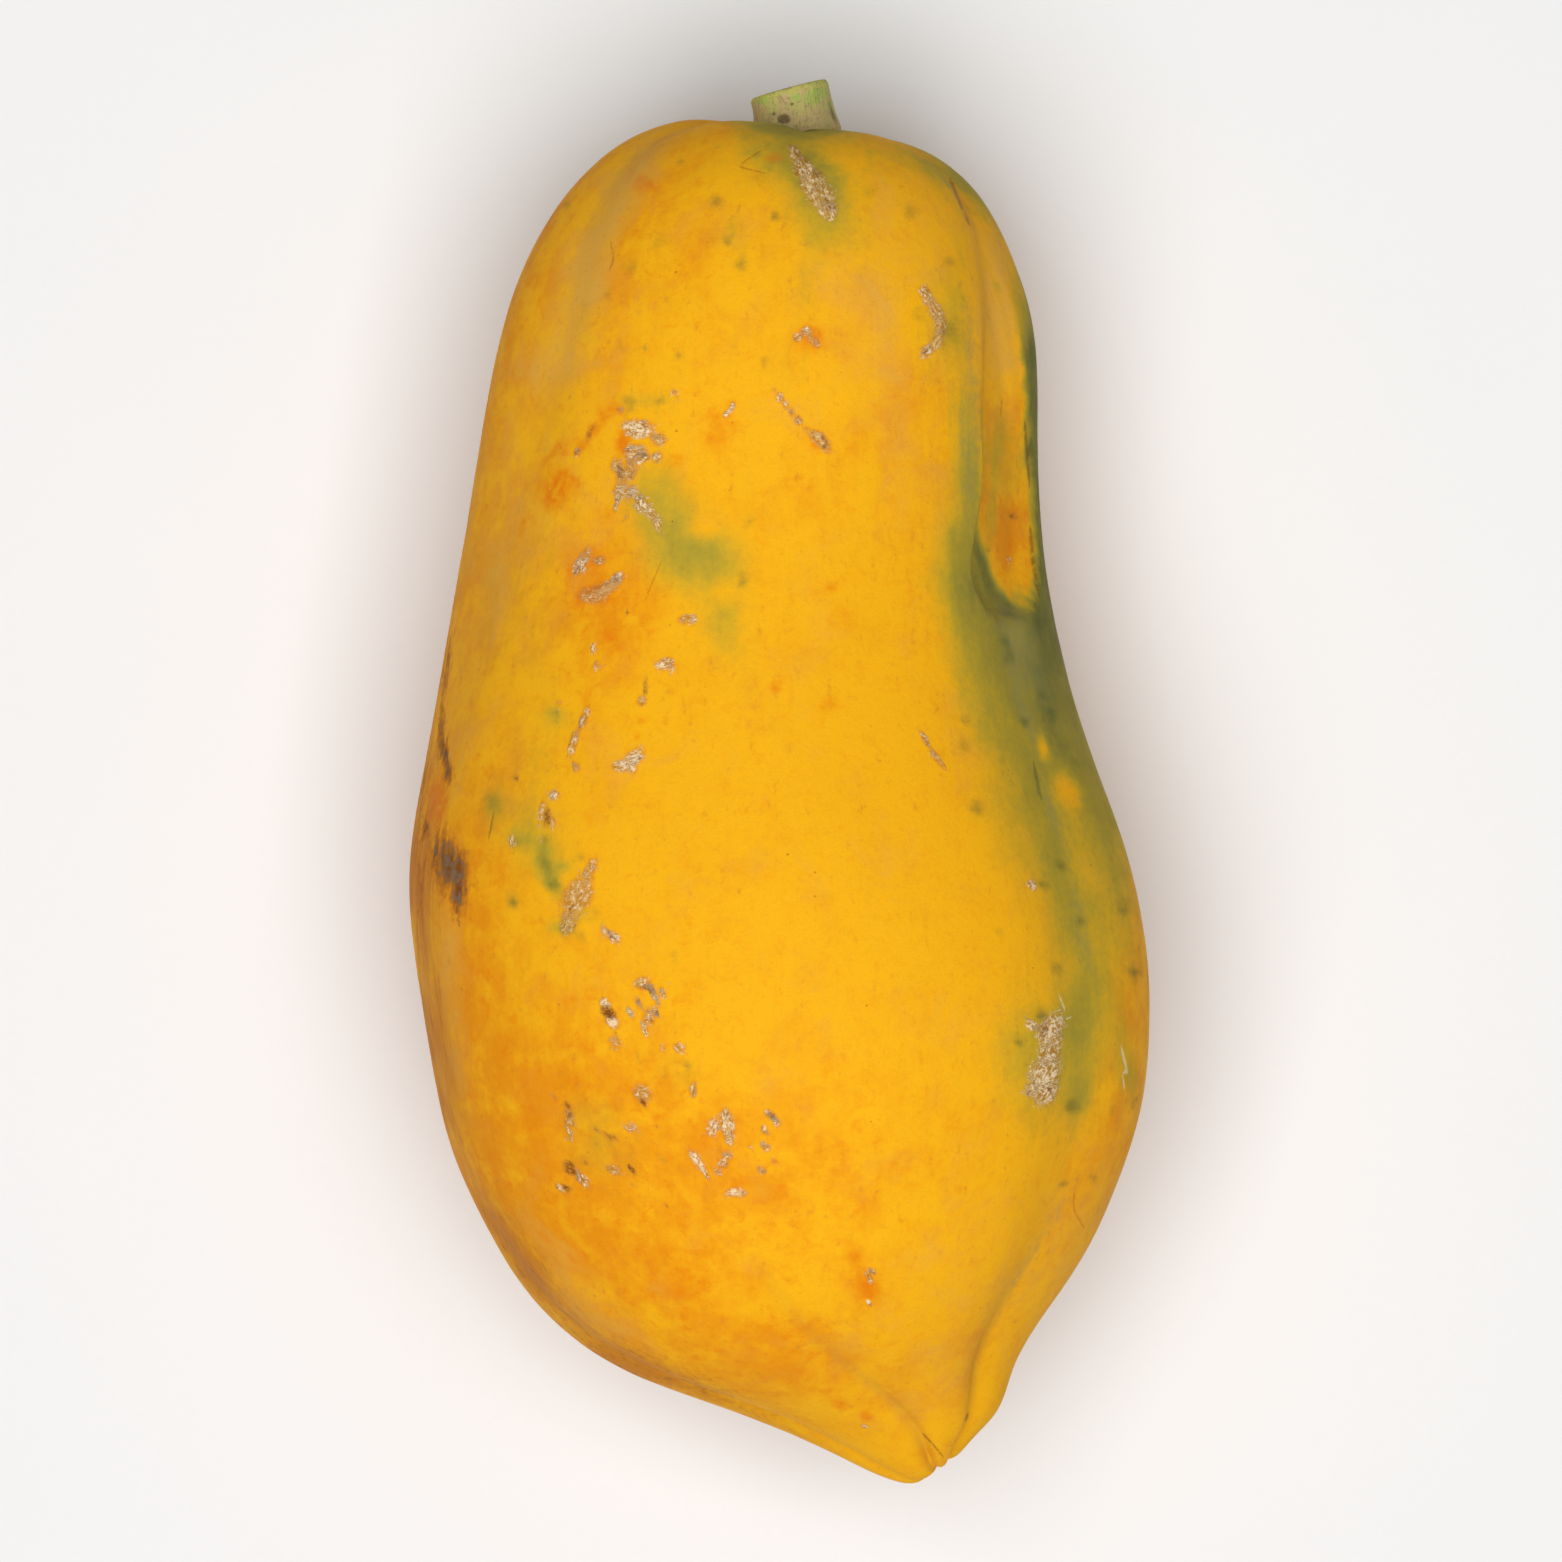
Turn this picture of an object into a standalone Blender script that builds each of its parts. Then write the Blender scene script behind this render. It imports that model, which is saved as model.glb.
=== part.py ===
"""A ripe papaya lying on its side, with the short cut stem that it was picked by.

Metres, +Z up. The fruit lies on the plane Z = 0 with its stem end towards +Y and its
blossom end towards -Y, and the origin is on that plane, under the middle of its box.
The fruit is one skin, lofted through upright rings from the stem to the blossom end.
Five grooves run its whole length, and the five lobes between them meet at both ends.
"""

import math

import bmesh
import bpy
import numpy as np
from mathutils import Vector

MM = 0.001
LOBES = 5

# Rings of the fruit, from the stem to the blossom end, in millimetres. Each ring stands
# upright on the line from its left to its right end, seen from above:
# left x, left y, right x, right y, lowest z, highest z. The first and last are the poles.
RINGS = (
    (3.0, 131.1, 3.0, 131.1, 65.0, 65.0),
    (-5.6, 131.5, 11.6, 130.2, 56.5, 73.5),
    (-17.6, 132.6, 25.0, 128.2, 44.0, 87.0),
    (-34.0, 126.3, 38.0, 120.1, 30.0, 101.0),
    (-48.0, 110.1, 45.6, 108.1, 19.5, 110.5),
    (-56.0, 90.1, 50.8, 92.1, 13.0, 115.5),
    (-60.8, 65.1, 52.0, 68.1, 8.5, 118.0),
    (-65.0, 40.1, 53.4, 44.1, 3.9, 121.0),
    (-68.8, 18.1, 58.0, 21.1, 0.6, 125.5),
    (-72.8, -3.9, 64.6, 0.1, -1.0, 130.5),
    (-74.6, -19.9, 70.4, -16.9, -1.0, 134.0),
    (-73.4, -35.9, 73.6, -33.9, 0.1, 136.0),
    (-70.2, -55.5, 74.2, -49.9, 2.5, 136.3),
    (-66.0, -73.9, 72.2, -66.9, 6.0, 134.0),
    (-58.8, -89.9, 67.6, -80.9, 10.4, 129.8),
    (-49.0, -104.9, 61.0, -95.1, 15.5, 123.5),
    (-32.0, -117.9, 52.8, -107.5, 25.0, 113.0),
    (-8.0, -127.1, 46.8, -118.5, 38.5, 98.5),
    (11.0, -135.1, 43.3, -127.1, 51.0, 87.0),
    (22.0, -140.0, 38.2, -132.7, 59.0, 79.5),
    (28.4, -140.2, 34.9, -135.7, 65.5, 74.5),
    (32.3, -135.6, 32.3, -135.6, 71.0, 71.0),
)

# The grooves at shares of the way from the stem to the blossom end.
GROOVE_SHARES = (0.0, 0.11, 0.18, 0.30, 0.42, 0.58, 0.78, 0.92, 1.0)
# Degrees round the ring from its right end, over its top, in the order that they lie.
GROOVE_ANGLES = (
    (20, 18, 25, 28, 29, 33, 33, 40, 50),
    (84, 86, 88, 94, 102, 106, 98, 87, 90),
    (150, 151, 143, 146, 158, 172, 167, 155, 152),
    (212, 214, 218, 226, 234, 240, 238, 230, 226),
    (288, 290, 294, 300, 305, 308, 306, 298, 290),
)
# Depth of each groove under its lobes' crests, in millimetres.
GROOVE_DEPTHS = (
    (0.9, 2.6, 2.4, 1.5, 2.4, 3.0, 3.2, 3.4, 2.0),
    (0.8, 1.3, 1.0, 0.6, 0.6, 0.7, 0.8, 1.8, 2.0),
    (1.2, 1.8, 1.9, 1.4, 1.2, 1.4, 2.2, 3.0, 2.0),
    (1.2, 2.4, 2.3, 2.0, 2.0, 2.0, 2.4, 3.0, 2.0),
    (1.2, 2.4, 2.3, 2.0, 2.0, 2.0, 2.4, 3.0, 2.0),
)
# How soft each groove is: small is a crease between two lobes, large is a round valley.
GROOVE_SOFTNESS = (
    (0.20, 0.10, 0.20, 0.50, 0.50, 0.42, 0.26, 0.09, 0.07),
    (0.30, 0.40, 0.50, 0.60, 0.60, 0.60, 0.40, 0.10, 0.07),
    (0.25, 0.30, 0.40, 0.50, 0.50, 0.45, 0.24, 0.09, 0.07),
    (0.20, 0.20, 0.30, 0.42, 0.50, 0.42, 0.26, 0.10, 0.07),
    (0.20, 0.20, 0.30, 0.42, 0.50, 0.42, 0.26, 0.10, 0.07),
)
GROOVE_NARROWING = 1.8
LEAST_SOFTNESS = 0.05
POLE_RADIUS = 9.0  # nearer a pole than this, a groove is shallower in step with the ring
# The blossom end leans up: its underside stands this much nearer the stem than its top.
END_LEAN = 3.2
END_LEAN_SHARE = 0.9  # where the lean starts

# The sunk strip on the neck, beside the right groove. It has a crease along its lower
# side and ends in a pocket with a sharp lip.
STRIP_END = 0.395  # share of the way along, where the pocket closes
STRIP_LENGTH = 92.0
STRIP_ANGLE_SHARES = (0.14, 0.204, 0.266, 0.32, 0.36, 0.395)
STRIP_ANGLES = (26.5, 27.4, 26.0, 22.5, 26.5, 29.0)  # degrees to its middle
STRIP_HALF_ANGLE = 14.8
STRIP_DEPTH = 3.4
STRIP_FULL_DEPTH = 30.0  # length from the pocket's end over which it is this deep
STRIP_ROUND_END = 12.0  # length of the pocket, whose end is round and whose lip is sharp
STRIP_SOFTENING = 40.0  # length past the pocket over which the lip turns soft
END_WALL = 3.2  # width of the wall that closes the pocket
CREASE_SHARE = 0.5  # of the depth, at the crease
CREASE_BANK = 3.2  # width of the bank that rises beyond the crease
FLOOR_FALL = 6.0  # width over which the floor falls from the crease
LIP_WALL = 4.0  # width of the wall under the pocket's lip
SOFT_WALL = 8.0  # and of the same wall past the softening

# Points round and along the fruit's skin
POINTS_PER_LOBE = 16
RINGS_ALONG = 52
END_CROWDING = 0.085  # draws rings towards both ends
GROOVE_CROWDING = 0.095  # draws points towards the grooves

# The stem: its base, its slanting cut and the root that is let into the fruit
STEM_BASE = (3.3, 131.0, 65.0)
STEM_LEAN = -0.23  # millimetres to the left for each one along
STEM_RADIUS = 8.4
STEM_GIRTHS = ((0.0, 1.02), (0.12, 1.0), (0.35, 0.965), (0.65, 0.95), (0.9, 0.955), (1.0, 0.94))
STEM_CUT_Y = 138.4  # where the axis meets the cut
STEM_CUT_SLOPE = 0.257  # the cut rises to the right
STEM_ROOT = 4.0
STEM_ROOT_GIRTH = 0.94
STEM_RIBS = 0.022  # height of its five soft ribs, as a share of the radius
STEM_OVAL = 0.012
STEM_SIDES = 30
STEM_GAP = 0.3

SMOOTH_UNDER = math.radians(40)
FRUIT_COLOUR = (0.93, 0.47, 0.02, 1.0)
FRUIT_ROUGHNESS = 0.42
STEM_COLOUR = (0.35, 0.33, 0.09, 1.0)
STEM_ROUGHNESS = 0.7


def spline(at, knots, values):
    """Natural cubic spline through the rows of values at the knots, read at each place."""
    knots = np.asarray(knots, float)
    values = np.asarray(values, float).reshape(len(knots), -1)
    step = np.diff(knots)
    slope = np.diff(values, axis=0) / step[:, None]
    system = np.eye(len(knots))
    right_side = np.zeros_like(values)
    for i in range(1, len(knots) - 1):
        system[i, i - 1 : i + 2] = step[i - 1], 2 * (step[i - 1] + step[i]), step[i]
        right_side[i] = 6 * (slope[i] - slope[i - 1])
    bend = np.linalg.solve(system, right_side)
    at = np.asarray(at, float)
    i = np.clip(np.searchsorted(knots, at) - 1, 0, len(step) - 1)
    width = step[i][:, None]
    before = (at - knots[i])[:, None]
    after = width - before
    cubic = bend[i] * after**3 + bend[i + 1] * before**3
    line = (values[i] / width - bend[i] * width / 6) * after
    line += (values[i + 1] / width - bend[i + 1] * width / 6) * before
    return cubic / (6 * width) + line


def smooth(x):
    """0 below 0, 1 above 1, and an even S between."""
    x = np.clip(x, 0.0, 1.0)
    return x * x * (3 - 2 * x)


def ring_knots():
    """Distance of each ring from the stem's pole, along the skin."""
    rings = np.array(RINGS)
    steps = np.hypot(np.diff(rings[:, 0]), np.diff(rings[:, 1]))
    steps += np.hypot(np.diff(rings[:, 2]), np.diff(rings[:, 3]))
    return np.concatenate([[0], np.cumsum(steps / 2)])


def groove_values(share, table):
    """One column for each groove, at each share of the way along."""
    return spline(share, GROOVE_SHARES, np.transpose(table))


def strip_depth(share, length, theta, radius):
    """How far the sunk strip lies under the skin at each angle, in millimetres."""
    up = (STRIP_END - share) * length
    middle = np.radians(spline(share, STRIP_ANGLE_SHARES, STRIP_ANGLES))
    rounding = np.sqrt(1 - np.clip(1 - up / STRIP_ROUND_END, 0, 1) ** 2)
    narrowing = np.clip(1 - (up / STRIP_LENGTH) ** 2, 0, 1)
    half = math.radians(STRIP_HALF_ANGLE) * rounding * narrowing
    off = (theta - middle + math.pi) % (2 * math.pi) - math.pi
    from_crease = (off + half[:, None]) * radius
    from_lip = (half[:, None] - off) * radius
    bank = CREASE_SHARE * (1 - smooth(-from_crease / CREASE_BANK))
    floor = CREASE_SHARE + (1 - CREASE_SHARE) * smooth(from_crease / FLOOR_FALL)
    softness = smooth((up - STRIP_ROUND_END) / STRIP_SOFTENING)[:, None]
    sharp_wall = 1 - (1 - np.clip(from_lip / LIP_WALL, 0, 1)) ** 2
    soft_wall = smooth(from_lip / (LIP_WALL + (SOFT_WALL - LIP_WALL) * softness))
    wall = sharp_wall + (soft_wall - sharp_wall) * softness
    rise = smooth((up - STRIP_FULL_DEPTH) / (STRIP_LENGTH - STRIP_FULL_DEPTH))
    fade = smooth(up / END_WALL + 0.2) * (1 - rise)
    return STRIP_DEPTH * fade[:, None] * np.where(from_crease < 0, bank, floor) * wall


def skin_point_grid(rings_along, points_per_lobe):
    """Points of the fruit's skin between its poles, as [ring, place round it, xyz] in millimetres."""
    knots = ring_knots()
    length = knots[-1]
    even = np.arange(1, rings_along + 1) / (rings_along + 1)
    share = even - END_CROWDING * np.sin(2 * math.pi * even)
    rows = spline(share * length, knots, RINGS)
    left, right, low, high = rows[:, 0:2], rows[:, 2:4], rows[:, 4], rows[:, 5]
    middle = (left + right) / 2
    half_wide = (right - left) / 2
    wide = np.linalg.norm(half_wide, axis=1)
    tall = (high - low) / 2

    # The skin's slope along the fruit, which turns a groove's depth towards the pole.
    travel = np.gradient(middle, axis=0)
    travelled = np.linalg.norm(travel, axis=1)
    onward = np.column_stack([half_wide[:, 1], -half_wide[:, 0]]) / wide[:, None]
    slope = np.arctan2(-np.gradient((wide + tall) / 2), travelled)

    angles = np.radians(groove_values(share, GROOVE_ANGLES))
    depths = np.clip(groove_values(share, GROOVE_DEPTHS), 0, None)
    depths *= np.minimum(1, wide / POLE_RADIUS)[:, None]
    soft = np.clip(groove_values(share, GROOVE_SOFTNESS), LEAST_SOFTNESS, None)
    even = np.arange(points_per_lobe) / points_per_lobe
    place = (even - GROOVE_CROWDING * np.sin(2 * math.pi * even))[None, None, :]
    blend = smooth(place)
    next_angles = np.column_stack([angles[:, 1:], angles[:, :1] + 2 * math.pi])
    theta = angles[:, :, None] + (next_angles - angles)[:, :, None] * place
    depth = depths[:, :, None] * (1 - blend) + np.roll(depths, -1, axis=1)[:, :, None] * blend
    softness = soft[:, :, None] * (1 - blend) + np.roll(soft, -1, axis=1)[:, :, None] * blend
    arch = np.sqrt(np.sin(math.pi * place) ** 2 + softness**2) - softness
    arch /= np.sqrt(1 + softness**2) - softness
    drop = depth * (1 - arch) ** GROOVE_NARROWING

    count = LOBES * points_per_lobe
    theta = theta.reshape(-1, count)
    drop = drop.reshape(-1, count)
    across = wide[:, None] * np.cos(theta)
    upward = tall[:, None] * np.sin(theta)
    radius = np.hypot(across, upward)
    kept = 1 - drop * np.cos(slope)[:, None] / radius
    across = fitted(across * kept, wide)
    upward = fitted(upward * kept, tall)
    sunk = strip_depth(share, length, theta, radius)
    across *= 1 - sunk / radius
    upward *= 1 - sunk / radius

    lean = END_LEAN * smooth((share - END_LEAN_SHARE) / (1 - END_LEAN_SHARE))
    back = drop * np.sin(slope)[:, None] + lean[:, None] * np.clip(-np.sin(theta), 0, 1)
    grid = np.empty(across.shape + (3,))
    chord = half_wide / wide[:, None]
    grid[:, :, :2] = middle[:, None, :] + chord[:, None, :] * across[:, :, None]
    grid[:, :, :2] -= onward[:, None, :] * back[:, :, None]
    grid[:, :, 2] = ((low + high) / 2)[:, None] + upward
    return grid


def fitted(values, half):
    """Scales each ring's values, its positive and negative ones apart, to end at half."""
    ahead = values * (half / values.max(1))[:, None]
    behind = values * (half / -values.min(1))[:, None]
    return np.where(values > 0, ahead, behind)


def loft(grid, first_pole, last_pole):
    """A closed bmesh through the rings of the grid, with a fan of faces at each pole."""
    mesh = bmesh.new()
    rings = [[mesh.verts.new(Vector(p) * MM) for p in ring] for ring in grid]
    for ring, further in zip(rings, rings[1:]):
        for i, vertex in enumerate(ring):
            mesh.faces.new((vertex, ring[i - 1], further[i - 1], further[i]))
    first, last = (mesh.verts.new(Vector(p) * MM) for p in (first_pole, last_pole))
    for i, vertex in enumerate(rings[0]):
        mesh.faces.new((first, rings[0][i - 1], vertex))
    for i, vertex in enumerate(rings[-1]):
        mesh.faces.new((last, vertex, rings[-1][i - 1]))
    bmesh.ops.recalc_face_normals(mesh, faces=mesh.faces)
    return mesh


def pole(row):
    return (row[0], row[1], row[4])


def flatten_underside(mesh):
    """Cuts the skin at the plane that the fruit lies on and closes it with one flat face."""
    everything = list(mesh.verts) + list(mesh.edges) + list(mesh.faces)
    cut = bmesh.ops.bisect_plane(
        mesh, geom=everything, plane_co=(0, 0, 0), plane_no=(0, 0, -1), clear_outer=True
    )
    rim = [e for e in cut["geom_cut"] if isinstance(e, bmesh.types.BMEdge)]
    bmesh.ops.contextual_create(mesh, geom=rim)
    bmesh.ops.recalc_face_normals(mesh, faces=mesh.faces)


def stem_rings(widening):
    """Rings of the stem, root first. widening is added all round and to the root's end."""
    base = Vector(STEM_BASE)
    rings = []
    for share, girth in ((None, STEM_ROOT_GIRTH), *STEM_GIRTHS):
        ring = []
        for i in range(STEM_SIDES):
            angle = 2 * math.pi * i / STEM_SIDES
            out_of_round = STEM_RIBS * math.cos(LOBES * angle + 0.6) + STEM_OVAL * math.cos(2 * angle)
            radius = STEM_RADIUS * girth * (1 + out_of_round) + widening
            x = radius * math.cos(angle)
            z = radius * math.sin(angle)
            cut = STEM_CUT_Y - base.y + STEM_CUT_SLOPE * x
            along = -STEM_ROOT - widening if share is None else cut * share
            ring.append((base.x + x + STEM_LEAN * along, base.y + along, base.z + z))
        rings.append(ring)
    return rings


def stem_mesh(widening=0.0):
    rings = stem_rings(widening)
    root_end, cut_middle = (np.mean(ring, axis=0) for ring in (rings[0], rings[-1]))
    return loft(rings, root_end, cut_middle)


def material(name, colour, roughness):
    made = bpy.data.materials.new(name)
    made.use_nodes = True
    shader = made.node_tree.nodes["Principled BSDF"]
    shader.inputs["Base Color"].default_value = colour
    shader.inputs["Roughness"].default_value = roughness
    return made


def new_object(name, mesh, look=None):
    data = bpy.data.meshes.new(name)
    mesh.to_mesh(data)
    mesh.free()
    made = bpy.data.objects.new(name, data)
    bpy.context.scene.collection.objects.link(made)
    if look:
        data.materials.append(look)
        data.shade_smooth()
        data.set_sharp_from_angle(angle=SMOOTH_UNDER)
    return made


def build_fruit():
    mesh = loft(
        skin_point_grid(RINGS_ALONG, POINTS_PER_LOBE), pole(RINGS[0]), pole(RINGS[-1])
    )
    flatten_underside(mesh)
    fruit = new_object("fruit", mesh, material("papaya_skin", FRUIT_COLOUR, FRUIT_ROUGHNESS))
    socket = new_object("stem_socket", stem_mesh(STEM_GAP))
    socket.hide_render = True
    socket.display_type = "WIRE"
    cut = fruit.modifiers.new("stem socket", "BOOLEAN")
    cut.object = socket
    cut.operation = "DIFFERENCE"
    return fruit


def build_stem():
    return new_object("stem", stem_mesh(), material("stem_rind", STEM_COLOUR, STEM_ROUGHNESS))


def main():
    for old in list(bpy.data.objects):
        bpy.data.objects.remove(old)
    build_fruit()
    build_stem()


main()
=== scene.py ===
"""A ripe papaya lying on a pale floor, seen from straight above in soft studio light.

The file has an add-on's layout: settings for the skin, the stem and the stage, an operator
for each of them, and a panel that lists them. The skin follows the solid fruit's own rings
and grooves with finer points. Everything that has a place of its own on it, such as a green
patch, a blush, a cork scar or a crack, stands in a table in millimetres as seen from above.
The mesh carries those marks as attributes, and the skin's material reads them.
"""

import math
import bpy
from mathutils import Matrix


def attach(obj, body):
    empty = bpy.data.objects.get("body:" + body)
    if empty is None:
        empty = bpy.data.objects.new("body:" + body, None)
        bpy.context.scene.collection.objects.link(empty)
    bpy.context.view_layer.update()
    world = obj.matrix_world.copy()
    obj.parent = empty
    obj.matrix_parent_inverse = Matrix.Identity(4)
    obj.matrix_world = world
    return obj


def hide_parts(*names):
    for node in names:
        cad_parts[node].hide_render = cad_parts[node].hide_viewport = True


bl_info = {
    "name": "Papaya",
    "version": (1, 0, 0),
    "blender": (4, 5, 0),
    "location": "View3D > Sidebar > Papaya",
    "description": "Makes a ripe papaya with its cut stem on a pale stage",
    "category": "Object",
}

import bpy
import numpy as np
from bpy.props import FloatProperty, FloatVectorProperty, IntProperty, PointerProperty
from bpy.types import Operator, Panel, PropertyGroup
from mathutils import Vector, noise

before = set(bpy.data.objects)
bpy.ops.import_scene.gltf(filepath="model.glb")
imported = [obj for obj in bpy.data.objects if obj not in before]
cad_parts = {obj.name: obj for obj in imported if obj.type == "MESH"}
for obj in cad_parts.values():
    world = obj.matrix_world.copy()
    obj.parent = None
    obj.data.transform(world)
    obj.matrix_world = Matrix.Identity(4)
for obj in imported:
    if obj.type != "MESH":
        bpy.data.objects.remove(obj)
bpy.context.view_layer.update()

MM = 0.001
LOBES = 5

# Rings of the fruit, from the stem to the blossom end, in millimetres: left x, left y,
# right x, right y, lowest z, highest z
RINGS = (
    (3.0, 131.1, 3.0, 131.1, 65.0, 65.0),
    (-5.6, 131.5, 11.6, 130.2, 56.5, 73.5),
    (-17.6, 132.6, 25.0, 128.2, 44.0, 87.0),
    (-34.0, 126.3, 38.0, 120.1, 30.0, 101.0),
    (-48.0, 110.1, 45.6, 108.1, 19.5, 110.5),
    (-56.0, 90.1, 50.8, 92.1, 13.0, 115.5),
    (-60.8, 65.1, 52.0, 68.1, 8.5, 118.0),
    (-65.0, 40.1, 53.4, 44.1, 3.9, 121.0),
    (-68.8, 18.1, 58.0, 21.1, 0.6, 125.5),
    (-72.8, -3.9, 64.6, 0.1, -1.0, 130.5),
    (-74.6, -19.9, 70.4, -16.9, -1.0, 134.0),
    (-73.4, -35.9, 73.6, -33.9, 0.1, 136.0),
    (-70.2, -55.5, 74.2, -49.9, 2.5, 136.3),
    (-66.0, -73.9, 72.2, -66.9, 6.0, 134.0),
    (-58.8, -89.9, 67.6, -80.9, 10.4, 129.8),
    (-49.0, -104.9, 61.0, -95.1, 15.5, 123.5),
    (-32.0, -117.9, 52.8, -107.5, 25.0, 113.0),
    (-8.0, -127.1, 46.8, -118.5, 38.5, 98.5),
    (11.0, -135.1, 43.3, -127.1, 51.0, 87.0),
    (22.0, -140.0, 38.2, -132.7, 59.0, 79.5),
    (28.4, -140.2, 34.9, -135.7, 65.5, 74.5),
    (32.3, -135.6, 32.3, -135.6, 71.0, 71.0),
)

# The grooves at shares of the way from the stem to the blossom end: their angle round the
# ring in degrees, their depth in millimetres, and how soft they are
GROOVE_SHARES = (0.0, 0.11, 0.18, 0.30, 0.42, 0.58, 0.78, 0.92, 1.0)
GROOVE_ANGLES = (
    (20, 18, 25, 28, 29, 33, 33, 40, 50),
    (84, 86, 88, 94, 102, 106, 98, 87, 90),
    (150, 151, 143, 146, 158, 172, 167, 155, 152),
    (212, 214, 218, 226, 234, 240, 238, 230, 226),
    (288, 290, 294, 300, 305, 308, 306, 298, 290),
)
GROOVE_DEPTHS = (
    (0.9, 2.6, 2.4, 1.5, 2.4, 3.0, 3.2, 3.4, 2.0),
    (0.8, 1.3, 1.0, 0.6, 0.6, 0.7, 0.8, 1.8, 2.0),
    (1.2, 1.8, 1.9, 1.4, 1.2, 1.4, 2.2, 3.0, 2.0),
    (1.2, 2.4, 2.3, 2.0, 2.0, 2.0, 2.4, 3.0, 2.0),
    (1.2, 2.4, 2.3, 2.0, 2.0, 2.0, 2.4, 3.0, 2.0),
)
GROOVE_SOFTNESS = (
    (0.20, 0.10, 0.20, 0.50, 0.50, 0.42, 0.26, 0.09, 0.07),
    (0.30, 0.40, 0.50, 0.60, 0.60, 0.60, 0.40, 0.10, 0.07),
    (0.25, 0.30, 0.40, 0.50, 0.50, 0.45, 0.24, 0.09, 0.07),
    (0.20, 0.20, 0.30, 0.42, 0.50, 0.42, 0.26, 0.10, 0.07),
    (0.20, 0.20, 0.30, 0.42, 0.50, 0.42, 0.26, 0.10, 0.07),
)
GROOVE_NARROWING = 1.8
LEAST_SOFTNESS = 0.05
POLE_RADIUS = 9.0
END_LEAN = 3.2
END_LEAN_SHARE = 0.9
END_CROWDING = 0.085
GROOVE_CROWDING = 0.095

# The sunk strip on the neck, which ends in a pocket with a sharp lip
STRIP_END = 0.395
STRIP_LENGTH = 92.0
STRIP_ANGLE_SHARES = (0.14, 0.204, 0.266, 0.32, 0.36, 0.395)
STRIP_ANGLES = (26.5, 27.4, 26.0, 22.5, 26.5, 29.0)
STRIP_HALF_ANGLE = 14.8
STRIP_DEPTH = 3.4
STRIP_FULL_DEPTH = 30.0
STRIP_ROUND_END = 12.0
STRIP_SOFTENING = 40.0
END_WALL = 3.2
CREASE_SHARE = 0.5
CREASE_BANK = 3.2
FLOOR_FALL = 6.0
LIP_WALL = 4.0
SOFT_WALL = 8.0

# The stem: its base, its slanting cut and its root
STEM_BASE = (3.3, 131.0, 65.0)
STEM_LEAN = -0.23
STEM_RADIUS = 8.4
STEM_GIRTH_SHARES = (0.0, 0.12, 0.35, 0.65, 0.9, 1.0)
STEM_GIRTHS = (1.02, 1.0, 0.965, 0.95, 0.955, 0.94)
STEM_CUT_Y = 138.4
STEM_CUT_SLOPE = 0.257
STEM_ROOT = 4.0
STEM_ROOT_GIRTH = 0.94
STEM_RIBS = 0.022
STEM_OVAL = 0.012
STEM_RINGS_ALONG = 26
STEM_RINGS_INWARD = 18
RIM_ROLL = 0.35
RIM_START = 0.9
CUT_DISH = 0.5
CUT_LINE = 0.12
CUT_LINE_PLACE = 0.72
CUT_SHARES = (0.96, 0.08)
CUT_EDGE_SHARE = 0.97
TOP_SIDE_HEIGHT = 3.0
# Bright green patches and dark marks on the stem, as seen from above, in rows like the
# skin's
STEM_GREEN = (
    (7, 137, 2.2, 1.4, 30, 1), (-3.6, 136.2, 1.2, 0.9, 0, 1), (3.4, 136.6, 1.4, 0.7, 20, 0.8),
    (9.8, 135.4, 1.6, 0.8, -70, 0.7),
)
STEM_MARKS = (
    (0.8, 132.3, 1.3, 1, 0, 1), (2.4, 135.3, 0.5, 0.4, 0, 0.8), (-1.2, 133.3, 0.5, 0.4, 0, 0.8),
    (11, 133.5, 3, 1, -70, 0.8),
)

# Points of the fine skin: columns in each lobe, most on the upper ones
LOBE_COLUMNS = (112, 92, 56, 38, 46)

# Where the camera stands, and the height at which its picture is life-size
CAMERA_DISTANCE = 3000.0
LIFE_SIZE_HEIGHT = 68.0
# The photograph's middle lies a fifth of a millimetre beside the fruit's.
CAMERA_ASIDE = (0.2, -0.1)
# Where the light hangs beside the fruit's middle, in metres
LIGHT_ASIDE = (-0.12, -0.62)
# How far the floor lies under the fruit, and the skin under the solid's surface, so that
# its relief stays inside
FLOOR_DROP = 0.2
SKIN_INSET = 0.35

# The skin's soft tones as seen from above. Each row is x, y, half length, half width,
# tilt of its length in degrees, strength. At its edge a tone is half as strong.
AMBER = (
    (-62, -24, 50, 7, 88, 0.7), (-44, 100, 30, 12, 75, 0.36), (-56, 50, 16, 4, 80, 0.4),
    (-38, 36, 14, 10, 75, 0.42), (-32, 26, 10, 6, 60, 0.32), (-30, 112, 12, 5, 70, 0.3),
    (-22, 122, 10, 4, 40, 0.25), (16, 100, 14, 3, 85, 0.2), (8, 62, 10, 6, 40, 0.25),
    (-30, -54, 16, 16, 0, 0.22), (-44, -90, 22, 12, -35, 0.6), (-4, -114, 26, 10, -14, 0.35),
    (44, -110, 16, 8, 50, 0.12), (62, -80, 18, 5, 65, 0.25), (71, -46, 24, 4, 85, 0.3),
    (-28, -72, 20, 14, -30, 0.2), (0, -76, 22, 14, 0, 0.35), (-46, -64, 16, 10, -70, 0.4),
    (-16, 96, 6, 16, 0, 0.2), (24, 74, 12, 8, 60, 0.25), (45.8, 50, 8, 3, 90, 0.9),
    (16, -99, 7, 3, -70, 0.5), (7, 88, 6, 5, 0, 0.4),
)
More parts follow.
